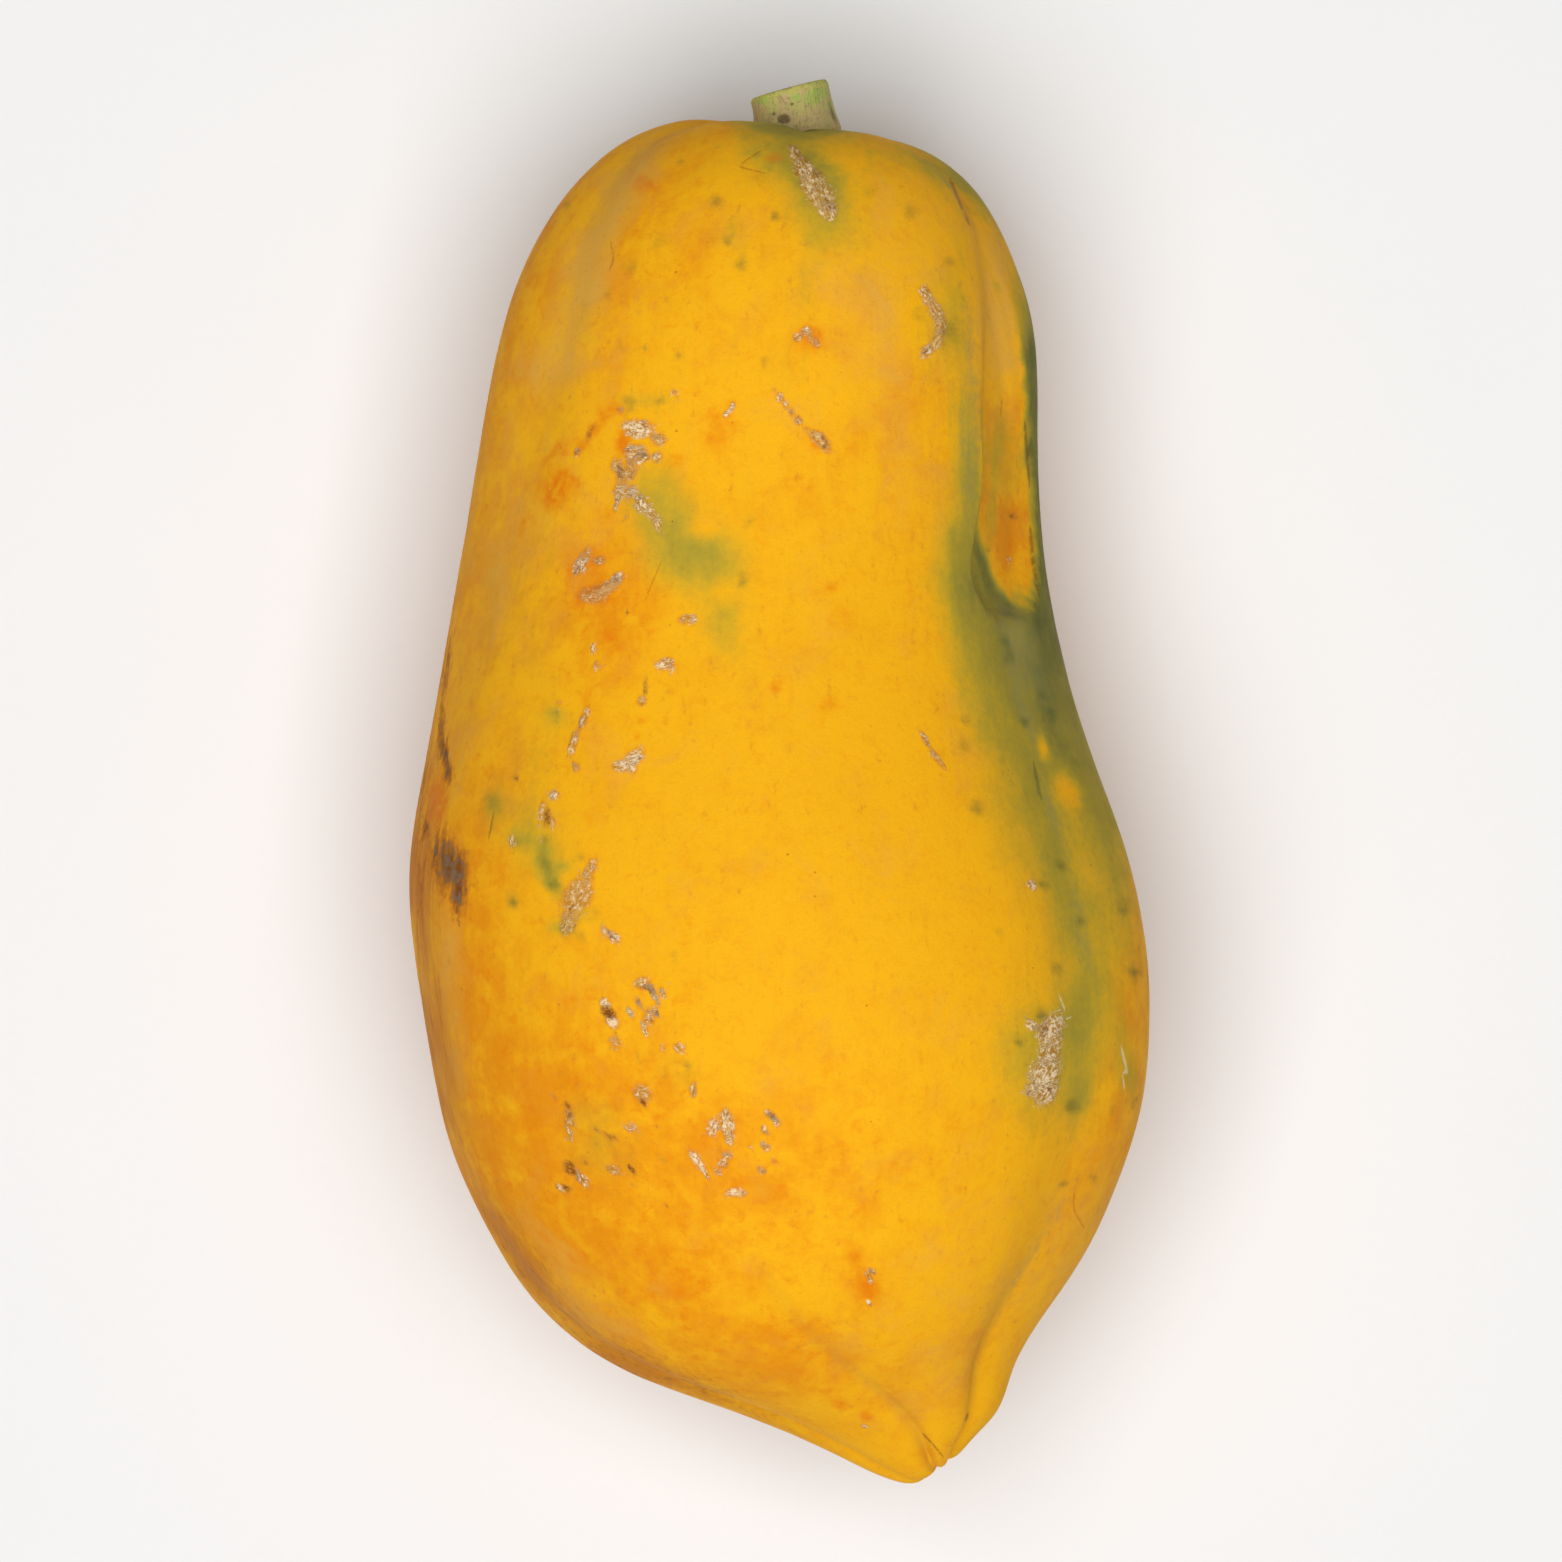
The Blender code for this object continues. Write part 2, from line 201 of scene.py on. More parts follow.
# Clear yellow, which pushes back both amber and green
YELLOW = (
    (16, -24, 34, 22, 85, 0.45), (-15.6, 50.5, 2.4, 1.8, 0, 0.8), (-10.8, 37.7, 2.8, 2, 0, 0.7),
    (-30, 4, 10, 8, 80, 0.35), (0, 60, 30, 10, 85, 0.3), (-58, 16, 34, 6, 79, 0.3),
    (16, 86, 18, 8, 90, 0.25), (-63, 0, 16, 5, 86, 0.45), (-54, 10, 16, 5, 85, 0.35),
    (-57, -19, 6, 4, 90, 0.55), (-32, 116, 10, 6, 50, 0.3), (52.6, 6.7, 1.9, 1.1, -80, 0.9),
    (57.6, -2.3, 2.9, 1.6, -80, 0.95),
)
# Rusty skin along the edges of the upper side, laid on strongly there as painted shade that
# darkens the fruit's edges
RUST_AND_EDGE_SHADE = (
    (-73.6, -16, 26, 4.4, 88, 0.85), (-70, -54, 20, 4, 100, 0.8), (74.5, -42, 20, 1.4, 88, 0.4),
    (70, -72, 14, 1.4, 66, 0.4), (-55, -96, 17, 5, -52, 1.05), (-22, -121.5, 28, 3.6, -26, 0.95),
    (-75.5, 2, 12, 2.4, 86, 0.9), (-66, 40, 30, 1.4, 81, 0.3), (-56, 96, 14, 1.6, 74, 0.4),
    (47, 106, 12, 1.6, -66, 0.35),
)
# Grey-green bloom on the unripe side
ASH = (
    (46.5, 25, 7, 1.3, -78, 0.75), (49.6, 12, 6, 1, -70, 0.6), (54.5, -6, 7, 1.4, -70, 0.6),
    (60.5, -30, 10, 1.6, -80, 0.5), (51, -94, 16, 1.2, 58, 0.45), (39, 84, 16, 1.6, -88, 0.5),
    (48, 31, 6, 3, -60, 0.55), (51, 21, 10, 3, -65, 0.55), (38, 62, 12, 2, -88, 0.5),
)
# Pale peach bloom, partly painted sheen: soft pale bands over the upper side
BLOOM_AND_SHEEN = (
    (-32, 118, 13, 3.5, 60, 0.7), (-39.6, 98, 14, 4, 78, 0.7), (-45.6, 84.7, 6, 4, 60, 0.6),
    (-56, 52, 26, 4, 80, 0.35), (-63, 16, 26, 5, 78, 0.15), (-67, -44, 26, 4, 95, 0.5),
    (-44, -102, 16, 6, -40, 0.45), (61, -90, 20, 4, 60, 0.35), (44, 94, 16, 2.8, -88, 0.75),
    (20, 94, 30, 15, 88, 0.3), (-6, -58, 8, 6, 0, 0.25), (36, -104, 26, 10, 55, 0.22),
    (-42, 60, 22, 9, 78, 0.22),
)
GREEN = (
    (3.4, 131, 9.5, 1.4, -6, 0.9), (5, 121, 12, 6, -65, 0.52), (-1, 125, 8, 4, -10, 0.35),
    (13, 112, 12, 4, -65, 0.3), (24, 125, 12, 3, -20, 0.25), (36, 121, 14, 2.4, -42, 0.5),
    (44.6, 112, 12, 2.2, -60, 0.5), (38.4, 68, 32, 3.2, -87, 0.34), (38.6, 60, 13, 2.8, -88, 0.42),
    (51.8, 60, 36, 2.9, -88, 1.4), (52.6, 19, 22, 7, -68, 0.8), (45, 18, 17, 4.5, -70, 0.5),
    (38, 32, 10, 4, -60, 0.35), (57, -20, 24, 4.6, -72, 0.6), (63, -2, 16, 5, -68, 0.5),
    (67.5, -24, 14, 3.6, -80, 0.4), (52.5, -56, 14, 9, 92, 0.52), (60, -48, 10, 3.5, 90, 0.5),
    (60.5, -64, 6, 2, 80, 0.4), (-24.4, 57.5, 5.5, 6, 0, 0.42), (-22, 48, 7, 7, -60, 0.42),
    (-15.5, 45.5, 7, 5.5, 0, 0.38), (-9.6, 43, 4, 6, 0, 0.32), (-11, 32, 8, 3.6, 90, 0.45),
    (-17.4, 43, 10, 7, -52, 0.22), (-6, 22, 7, 3.4, 80, 0.16), (40, 38, 9, 4, -62, 0.62),
    (45, -10, 17, 5, -70, 0.34), (39, 16, 13, 4, -68, 0.34), (53.6, 34, 17, 3, -76, 1.1),
    (36, 45, 8, 3, -75, 0.3), (-28, 75, 5, 2.4, 0, 0.35), (-47.8, -15.6, 2.4, 1.4, 60, 0.6),
    (-46, -20.4, 3, 1.6, 110, 0.7), (-43.4, -17.4, 1.8, 1, 0, 0.45), (-50.6, -13, 2, 1, 40, 0.4),
    (-43.8, -29.4, 2.4, 1.8, 0, 0.6), (-40, -27, 1.8, 1.2, 0, 0.45),
    (-57.8, -5, 2.2, 1.8, 80, 0.6), (-53.6, -12, 1.8, 1.5, 0, 0.55),
    (-45.2, 13.7, 1.9, 1.6, 0, 0.5), (-53.4, -24, 1.8, 1.2, 70, 0.4), (-52, -10, 12, 7, -30, 0.35),
    (-50, 6, 14, 8, 80, 0.2), (-53, 30, 22, 9, 80, 0.25), (-36, -72, 10, 7, -60, 0.3),
    (-20, -58, 6, 4, -30, 0.22), (5.6, 100, 14, 4, 80, 0.3), (-10, 108, 5, 4, 0, 0.25),
    (33.6, 92, 9, 3.4, 85, 0.35), (69.4, -58, 8, 2.2, -80, 0.4),
)
# The sunk strip: its orange floor, the olive wedge under its lip, which is green skin darkened as
# painted shade in the recess, and faint olive tints
POCKET_FLOOR = (
    (45.2, 78, 24, 4, 91, 1.2), (45.4, 55, 12, 5.2, 91, 1.2), (46.8, 45, 7, 4.4, 96, 1.2),
    (48, 39.5, 4.6, 2.8, 100, 1.2),
)
POCKET_GREEN_AND_SHADE = (
    (40.2, 45, 8, 1.8, -72, 0.95), (43.4, 37.5, 5, 2.2, -52, 0.95), (47, 34, 3, 1.4, 10, 0.6),
)
POCKET_TINTS = (
    (45.8, 63, 9, 4.5, 90, 0.6), (44.4, 68, 6, 1.2, 80, 0.6), (42.6, 53, 6, 1, 90, 0.7),
    (45.2, 100.3, 2.6, 1.4, 60, 1.2), (47.4, 36, 3, 1.6, 60, 0.9),
)
DEEP_ORANGE = (
    (5.6, 88.7, 3.2, 2.4, 20, 0.85), (-44.6, 59.1, 4, 2.6, 20, 1), (-45.4, 56.5, 2.6, 2.4, 60, 1),
    (-37.6, 70.1, 3, 1.2, 60, 0.75), (-40, 66.7, 2.4, 1.2, 50, 0.75),
    (-44.2, 66.1, 3.2, 2, 45, 0.62), (-46.4, 63.3, 2.4, 1.8, 45, 0.62),
    (-33.6, 74.5, 2.2, 1.2, -10, 0.8), (-35.8, 73.1, 2.4, 1.6, 90, 0.65),
    (-31.4, 67.3, 2.6, 1.6, 100, 1), (-12.2, 71.1, 4.5, 4, 70, 0.55),
    (-14, 68.7, 2.4, 1.4, 0, 0.6), (-27.6, 119.5, 3.4, 2, -40, 0.62),
    (-0.8, 124.9, 2.4, 1.4, 0, 0.5), (7, 67.1, 1.6, 1.2, -45, 0.65),
    (-42.2, 41.9, 3.6, 1.2, 80, 0.75), (-37.6, 38.1, 4.4, 2.4, 0, 0.8),
    (-38, 44.1, 3, 2.4, 60, 0.6), (-34.6, 53.3, 1, 0.8, 0, 0.7), (-28, 12.1, 1.2, 1, 0, 0.55),
    (12.6, 32.7, 2.8, 2.2, 0, 0.62), (10.4, 38.5, 2.6, 1.2, 30, 0.5), (9.6, 14.9, 2, 1.7, 0, 0.66),
    (-0.4, 18.9, 2, 1.1, 25, 0.64), (-21.5, 64, 2.6, 1.6, 10, 0.5),
    (-28.6, 8.5, 0.8, 0.7, 0, 0.65), (-21, 17.3, 1.4, 0.6, -20, 0.75),
    (-34.2, 28.9, 2.2, 1.4, 60, 0.6), (-51.8, 50.9, 1.5, 0.6, 75, 0.8),
    (15.4, -96.5, 4.4, 1.4, -72, 0.62), (17.6, -102.3, 3.4, 1.7, -70, 0.7),
    (-18.6, -100, 6, 5, 0, 0.5), (1, -110.5, 5, 1.6, -5, 0.45), (17.2, -127.5, 1.4, 1.2, 0, 0.75),
    (11.2, -124.7, 2.2, 1, -20, 0.65), (-33, -93.7, 1.2, 0.8, -30, 0.6),
    (-39.8, -86.7, 1.4, 0.8, -70, 0.6), (-68.9, -3.5, 5, 2, 83, 1),
    (-68.4, -7.3, 2.2, 0.6, 85, 0.8),
)
BRUISE = (
    (-66.4, -17.1, 6.4, 3, -72, 1), (-65, -22.5, 3.6, 1.6, -80, 0.95),
    (-67.4, 5.1, 4.5, 0.9, -78, 0.9), (-66.8, 1.7, 2.4, 0.8, -85, 0.9),
    (-71.2, -9.5, 2, 0.9, 90, 0.8), (-69.4, -14.3, 2, 1.2, -70, 0.8), (-67, 22, 7, 0.7, 82, 0.6),
    (-72, -10, 20, 2.2, 89, 0.36), (-75.6, 0, 9, 1.4, 86, 0.5), (-68.2, 11, 6, 0.7, 85, 0.62),
    (-72.4, -22, 12, 1, 90, 0.45),
)

# Small soft green-grey spots: x, y, radius, strength
GREEN_SPOTS = (
    (-1, 113, 0.9, 0.7), (-10.6, 108, 0.9, 0.7), (-27, 86.4, 0.7, 0.6), (-32, 87, 0.7, 0.6),
    (-20.6, 85.6, 0.7, 0.6), (-3, 83.6, 0.8, 0.6), (-24, 76.4, 0.8, 0.6), (-35, 97, 0.8, 0.5),
    (-28, 94, 0.8, 0.5), (-22.6, 96, 0.8, 0.5), (-20, 124, 0.8, 0.5), (-42.8, 115, 0.8, 0.5),
    (-6, 52.3, 1, 0.45), (-7.4, 40.5, 1.1, 0.75), (37.2, 11.9, 0.8, 0.85), (36.6, 7.3, 1.4, 0.5),
    (39.6, -5.3, 1.3, 0.7), (46, 26, 1, 0.6), (49.2, 11.5, 0.9, 0.8), (-57.8, -4.3, 1.5, 0.6),
    (-53, -12.6, 1, 0.6), (-47.4, -11.3, 0.9, 0.6), (-53.4, -24.7, 1, 0.8),
    (-40.2, -14.9, 0.9, 0.5), (-36.6, -26.9, 1, 0.4), (55.6, -37.6, 1, 0.8),
    (58.6, -65.1, 1.3, 0.9), (71, -38.2, 1.3, 0.8), (69.2, -25.3, 1.2, 0.8),
    (60.4, -28.3, 1.1, 0.7), (56.4, -16.7, 1, 0.8), (60.4, -6.5, 1, 0.6), (53, -20.7, 1, 0.7),
    (44, -30.1, 0.7, 0.4), (48, -51.9, 0.9, 0.8), (52.6, -46.9, 1.2, 0.9),
    (-21.4, -35.6, 0.8, 0.5), (57, -80.9, 0.8, 0.7), (63.2, -79.9, 0.8, 0.6),
    (-28.6, -54.9, 0.8, 0.5), (-23.4, -58.5, 0.8, 0.5), (-18.8, -57.5, 0.9, 0.5),
    (-18.4, -59.9, 0.8, 0.4), (-42.2, -67.5, 1, 0.7), (-30.4, 75.3, 1.4, 0.5),
    (-23.6, -75.5, 0.8, 0.4), (51.8, 31.4, 1.4, 0.8), (34.2, 90, 2.4, 0.6), (28, 94, 1.4, 0.5),
    (34, 104, 1.2, 0.5), (-13, 116, 1.4, 0.5), (-8, 103.6, 1.3, 0.6), (-30, 103, 1.2, 0.5),
    (-24.6, 108, 1.6, 0.4), (18, 118, 1.2, 0.4), (26.4, 114, 1.5, 0.5), (53, 31.5, 1.4, 0.7),
    (45.2, 28.4, 1.1, 0.7), (46.2, 24.6, 1.3, 0.6), (52.4, 16.8, 1.2, 0.6), (54.2, 13.2, 1.5, 0.7),
    (57.4, 6.6, 1.1, 0.5), (59.4, 3.3, 0.8, 0.5), (-46.8, -16.6, 1.2, 0.7),
    (-45.2, -20.8, 1.5, 0.8), (-43.6, -23.4, 1, 0.6), (-42.8, -29.8, 1.4, 0.7),
    (-40, -30.8, 0.9, 0.6),
)

# Dark brown tissue: x, y, half length, half width, tilt, strength
BROWN = (
    (-30.6, 33.9, 0.4, 0.3, 0, 0.8), (-27, 20.3, 0.8, 0.7, 60, 1), (-27, 18.1, 0.6, 0.5, 0, 0.9),
    (-22.6, 17.3, 0.7, 0.5, 0, 0.9), (-44.8, 13.3, 0.7, 0.6, 0, 0.75),
    (-53.2, 0.7, 0.6, 0.5, 0, 0.65), (-46.8, -7.3, 2.2, 0.6, 85, 0.95),
    (-28.6, 70.3, 1, 0.4, 20, 0.75), (-27.4, 73.9, 0.5, 0.4, 0, 0.7),
    (-36.8, 38.3, 1.4, 0.6, 0, 0.7), (-34.8, -46.1, 1.3, 1, -20, 1.2),
    (-32.8, -48.9, 0.6, 0.5, 0, 1), (-33, -51.1, 0.9, 0.6, -60, 1), (-27.6, -64.7, 0.7, 0.6, 0, 1),
    (-42.8, -65.5, 0.9, 0.7, 0, 0.9), (-39.8, -67.5, 0.5, 0.4, 0, 0.7),
    (-34, -71.5, 1, 0.9, 0, 0.7), (-36.8, -69.9, 0.8, 0.6, 0, 0.6), (-32, -73.5, 0.6, 0.5, 0, 0.6),
    (-42.4, -77.7, 1.3, 1, -40, 1.1), (-39.4, -76.1, 0.8, 0.7, 0, 0.9),
    (-43, -81.9, 1, 0.9, 0, 0.8), (-30, -77.7, 0.8, 0.6, -50, 1), (-29.6, -80.5, 1, 0.8, 0, 0.6),
    (-24.8, -69.7, 0.4, 0.4, 0, 0.8), (-23.4, -84.9, 0.6, 0.3, -30, 0.9),
    (-10, -70.9, 0.5, 0.5, 0, 1), (-15.4, -81.1, 0.5, 0.4, 0, 1), (-7.6, -83.3, 0.8, 0.5, 10, 1),
    (38.8, -57.1, 0.3, 0.25, 0, 0.8), (66.8, -66.1, 1.8, 0.8, 80, 0.55),
    (71.2, -64.5, 1.6, 0.5, 70, 0.6), (47, 53.1, 0.7, 0.6, 0, 0.9), (44.8, 52.1, 0.8, 0.6, 0, 0.9),
    (42.4, 47.1, 0.6, 0.5, 0, 0.8), (42, 45.5, 0.6, 0.5, 0, 0.8),
    (-42.2, 77.3, 0.8, 0.35, 70, 0.7), (-38.2, 69.6, 2.2, 0.7, 62, 0.62),
    (-40.4, 66.2, 1.4, 0.6, 50, 0.6), (37.6, -127.5, 1.2, 0.3, 70, 0.6),
    (-27.2, -47.7, 0.3, 0.3, 0, 0.6),
)

# Cork scars: x, y, half length, half width, tilt of their grain, and how white they are
SCARS = (
    (-28.4, 70.3, 2.9, 1.5, -5, 1), (-31.8, 73.7, 0.9, 0.5, -35, 0.55),
    (-29.2, 65.7, 2.2, 1.2, 0, 0.75), (-24.2, 68.3, 1.3, 1, 0, 0.35),
    (-24.6, 64.5, 1, 0.8, 60, 0.9), (-27.8, 64.3, 1.8, 0.9, 30, 0.75),
    (-32.8, 63.3, 1.3, 1, 0, 0.55), (-30.8, 61.3, 2.3, 1.3, 40, 0.5),
    (-31.2, 57.7, 2.2, 1.2, -10, 0.7), (-29.6, 58.1, 0.9, 0.7, -30, 1),
    (-32.8, 55.5, 1.3, 0.5, 60, 0.9), (-30.8, 53.3, 0.6, 0.5, 90, 0.9),
    (-27.6, 55.3, 1.7, 1.3, -50, 0.9), (-26, 53.7, 1.7, 1, -50, 0.75),
    (-24.6, 50.9, 1.5, 0.7, -60, 0.6), (-20.8, 77.1, 0.9, 0.5, -50, 1),
    (-9.6, 74.7, 0.6, 0.5, 0, 1), (-10.8, 73.5, 0.7, 0.5, 30, 1), (-40.8, 65.5, 0.8, 0.5, 60, 0.7),
    (-40, 43.1, 1.7, 1.1, 60, 0.85), (-41.2, 41.5, 0.9, 0.6, 60, 0.9),
    (-38.6, 46.3, 1.4, 0.7, 20, 0.5), (-35.8, 44.5, 1.7, 0.6, 20, 0.6),
    (-32.6, 40.9, 1.3, 0.7, 10, 0.95), (-37.6, 37, 2.6, 1.4, 0, 0.45),
    (-34.6, 38.7, 1.8, 0.9, 0, 0.3), (-37.6, 36.2, 1.2, 0.7, 0, 0.8),
    (-18.4, 31.7, 1.8, 0.7, -15, 0.6), (-17.2, 31.9, 0.7, 0.5, 30, 1),
    (-37.4, 26.5, 0.8, 0.5, 90, 0.8), (-37, 22.3, 1.1, 0.6, 10, 0.9),
    (-35, 23.7, 0.9, 0.5, 20, 0.85), (-23, 23.5, 1.8, 0.9, 15, 0.85),
    (-21.6, 22.5, 0.8, 0.5, 90, 0.9), (-27.8, 16.5, 1, 0.8, 0, 0.35),
    (-44.8, 14.7, 0.9, 0.6, 50, 0.5), (-40.8, 2.9, 0.6, 0.5, 0, 0.35), (-28.8, 5.3, 1.9, 1, 20, 1),
    (-31.6, 2.9, 1.8, 0.9, 15, 0.9), (-29.8, 2.7, 1.2, 1, -60, 0.8),
    (-45.4, -2.9, 1.5, 0.5, 30, 0.95), (-47.8, -6.3, 2.2, 0.5, 80, 0.75),
    (-45.8, -8.3, 1.5, 0.45, -80, 0.7), (-47.8, -11.1, 0.8, 0.5, 60, 0.8),
    (-53.8, -12.3, 1.3, 0.6, 80, 0.85), (-40.6, -23.3, 3.6, 2.3, 65, 0.42),
    (-38.2, -17.9, 2.4, 0.8, 60, 0.6), (-42.4, -28.3, 2.2, 1.4, 60, 0.45),
    (-35.2, -30.3, 0.9, 0.8, 0, 1), (-33.4, -31.5, 1.3, 0.6, -35, 0.95),
    (-27.6, -40.5, 1.6, 1.1, 25, 0.7), (-26.4, -47.3, 1.5, 1.1, 20, 0.7),
    (-27.2, -49.9, 1.3, 0.5, 95, 0.8), (-30.2, -46.3, 0.6, 0.45, 0, 0.9),
    (-23.4, -53.1, 0.7, 0.5, 60, 0.8), (-20.4, -53.3, 1.3, 0.6, -15, 0.75),
    (-35.2, -44.7, 1, 0.5, 10, 1), (-33.8, -48.3, 1.5, 1, -40, 1),
    (-33.2, -52.9, 1.5, 0.9, 0, 0.35), (-27.8, -62.7, 1.7, 1.5, 0, 0.35),
    (-17, -59.7, 0.7, 0.5, 0, 0.95), (-17.4, -61.9, 1.4, 0.7, 80, 0.5),
    (-42.2, -67.7, 2, 0.8, 88, 0.45), (-42.4, -71.1, 1.1, 0.6, 90, 0.9),
    (-45.6, -64.1, 0.8, 0.6, 50, 0.4), (-29.4, -69.5, 1.1, 0.5, -70, 1),
    (-30.8, -69.3, 1.2, 0.6, -20, 0.5), (-39.8, -79.9, 1.8, 0.8, -45, 0.85),
    (-44.2, -81.9, 0.7, 0.5, 0, 0.95), (-49.2, -82.9, 0.6, 0.5, 0, 0.8),
    (-33.4, -77.7, 1.3, 0.9, 0, 0.4), (-10.6, -68.9, 2.7, 1.3, -80, 0.8),
    (-10.2, -72.1, 1.2, 0.7, -90, 0.75), (-13.6, -69.5, 1.6, 0.9, 65, 0.95),
    (-16.8, -75.9, 1.8, 0.7, -55, 1), (-14.8, -79.1, 1.2, 0.45, -60, 0.8),
    (-11, -76.1, 1.6, 0.8, 50, 0.85), (-12.2, -77.9, 1.1, 0.5, 30, 0.8),
    (-8.8, -82.3, 2.3, 0.7, 5, 1), (-0.8, -68.5, 1, 0.6, 70, 0.85),
    (-3.2, -69.9, 0.9, 0.5, 85, 0.7), (-6, -73.1, 0.6, 0.5, 50, 0.8),
    (-3, -73.1, 0.9, 0.5, 0, 0.8), (-2.2, -66.5, 0.9, 0.6, 0, 0.6),
    (29.4, 97.1, 1.8, 1, -60, 0.75), (31.4, 93.9, 2.2, 1.2, -60, 0.6),
    (32.4, 91.1, 1.6, 1.2, -90, 0.5), (31.6, 88.1, 2, 1.1, 60, 0.55),
    (29.6, 85.9, 1.5, 0.9, 30, 0.8), (-23.8, -43, 2, 0.5, 62, 0.9),
    (-24.8, -45.6, 1.8, 0.4, 70, 0.9), (-28.8, -44.8, 1.4, 0.4, 50, 0.8),
    (-25.4, -42.4, 1.2, 0.4, 40, 0.7), (-2.8, -77.5, 2.4, 0.35, 30, 0.5),
    (17.8, -99.3, 1.4, 0.5, -70, 0.5), (29, 79.7, 0.6, 0.5, 0, 0.9),
    (46.4, 43.7, 0.8, 0.6, 0, 0.9), (3.6, 88.9, 1, 0.7, 30, 0.7), (5.2, 90, 0.8, 0.5, 0, 0.8),
    (6.4, 88.1, 1.2, 0.7, -20, 0.5), (7.4, 87.1, 0.7, 0.5, 40, 0.6), (54.4, -49.9, 3, 2, 60, 0.9),
    (54.2, -54.3, 3, 1.7, 60, 0.8), (53, -58.9, 3.6, 2.6, 60, 0.9),
    (53.4, -62.3, 2.6, 2, 55, 0.85), (50.6, -48.9, 1.4, 0.9, -40, 0.9),
    (50.6, -61.5, 1.7, 1.1, 40, 0.9), (50.6, -20.7, 0.9, 0.75, 30, 1),
    (18.4, -98.5, 0.9, 0.4, 60, 0.9), (18, -104.7, 0.9, 0.4, 80, 0.9),
    (17, -129.3, 0.6, 0.4, 0, 0.9), (3, 125.5, 1.8, 1, -62, 0.55),
    (4.8, 122.5, 2.4, 1.7, -62, 0.7), (6.6, 119.7, 2.6, 2.3, -62, 0.6),
    (8.2, 117.1, 2.6, 2.4, -66, 0.6), (9.6, 114.3, 2, 1.8, -66, 0.7),
    (-39.4, 12.4, 2.6, 0.55, 64, 0.7), (-41.4, 7.6, 2.6, 0.6, 74, 0.6),
    (0.2, 76.3, 2.2, 0.55, -48, 0.8), (3.4, 72.3, 2.4, 0.45, -48, 0.5),
    (8, 68.2, 2.4, 1, -40, 0.4), (10, 66.4, 1.4, 0.6, 10, 0.5), (29.2, 8.4, 2.2, 0.45, -60, 0.55),
    (31.6, 4.2, 2, 0.5, -50, 0.5),
)

# Marks of the underside, in millimetres on the unrolled skin: clusters of scars (x, y,
# spread, count), orange blotches, and the area of the scattered green-grey spots
GIRTH_RADIUS = 60.0
SCAR_SEED = 5
SPOT_SEED = 11
SPOTS_BELOW = 46
SPOT_AREA_BELOW = ((190, -110), (370, 115))
CLUSTERS_BELOW = (
    (206, -70, 6, 9), (222, 20, 9, 14), (232, 62, 5, 8), (258, -34, 8, 13), (282, 74, 6, 8),
    (300, 8, 10, 12), (318, -84, 6, 9), (338, -20, 7, 10), (346, 52, 4, 6),
)
BLOTCHES_BELOW = (
    (214, 44, 5, 3, 60, 0.9), (240, -8, 4, 2.4, 20, 0.8), (262, 90, 5, 2.6, 80, 0.8),
    (276, -66, 6, 3, 40, 0.8), (310, 36, 4, 2.6, -30, 0.9), (330, -52, 6, 2.4, 75, 0.8),
)

# Thin strokes, some of them painted shade along creases: half width, tone (0 rust, 0.25 dark
# brown, 0.5 dark green, 1 cork), points
STROKES_AND_CREASE_SHADE = (
    (0.22, 0.0, (-24.2, 43.1), (-25.6, 39.9), (-26.8, 36.9)),
    (0.30, 0.4, (-57.8, -7.3), (-58.4, -10.4)),
    (0.26, 0.1, (-4.2, 126.1), (-7.2, 124.1)),
    (0.24, 0.1, (-7.6, 122.9), (-3.6, 121.9)),
    (0.22, 0.1, (-34.0, 107.0), (-33.4, 104.5), (-34.2, 102.6)),
    (0.28, 0.0, (44.8, 75.9), (44.6, 73.9)),
    (0.26, 0.0, (59.2, -83.5), (59.0, -85.5), (59.6, -86.9), (61.0, -89.3)),
    (0.55, 0.5, (51.2, 2.5), (51.6, 0.1), (52.4, -3.3)),
    # Painted shade: dark lines along the groove beside the sunk strip, the crease on the neck and
    # the crease at the blossom end
    (0.45, 0.3, (49.4, 70.5), (50.2, 60.1)),
    (0.60, 0.25, (50.4, 50.1), (51.0, 43.3), (52.0, 38.1)),
    (0.45, 0.25, (34.4, 120.2), (36.0, 116.4), (38.0, 111.9)),
    (0.30, 0.25, (28.8, -131.3), (32.4, -135.1)),
    (0.45, 0.25, (-65.0, -25.7), (-64.6, -28.3)),
    (0.30, 1.0, (56.4, -43.9), (57.2, -45.9)),
    (0.22, 1.0, (56.0, -48.5), (58.0, -47.5)),
    (0.34, 1.0, (68.6, -53.9), (69.6, -57.9)),
    (0.22, 1.0, (68.8, -59.5), (69.2, -61.9)),
)

# The soft wander of the marks' outlines: size of its waves, reach, seed
WANDER_SEED = 1
WAVES = (9.0, 1.6, 3.0)
SMALL_WAVES = (3.2, 0.5, 8.0)
FAINT_WAVES = (3.2, 0.25, 15.0)
# The clouds in which the skin's tones vary: size, seed
RIPE_CLOUDS = (34.0, 21.0)
UNRIPE_CLOUDS = (44.0, 33.0)
DULL_CLOUDS = (26.0, 47.0)
RUST_AND_SHADE_CLOUDS = (15.0, 62.0)
RUST_AND_SHADE_EDGE_CLOUDS = (19.0, 12.0)
# The skin's relief: the depth, size and seed of its dents, how far cork stands out, and how
# far dead and bruised skin is sunk
DENTS = ((0.22, 26.0, 4.0), (0.07, 8.0, 6.0))
CORK_RISE = 0.15
TISSUE_DROP = 0.35
# How far apart two scars lie in the grain of the cork, so that no two look the same
SCAR_SPACING = 7.3


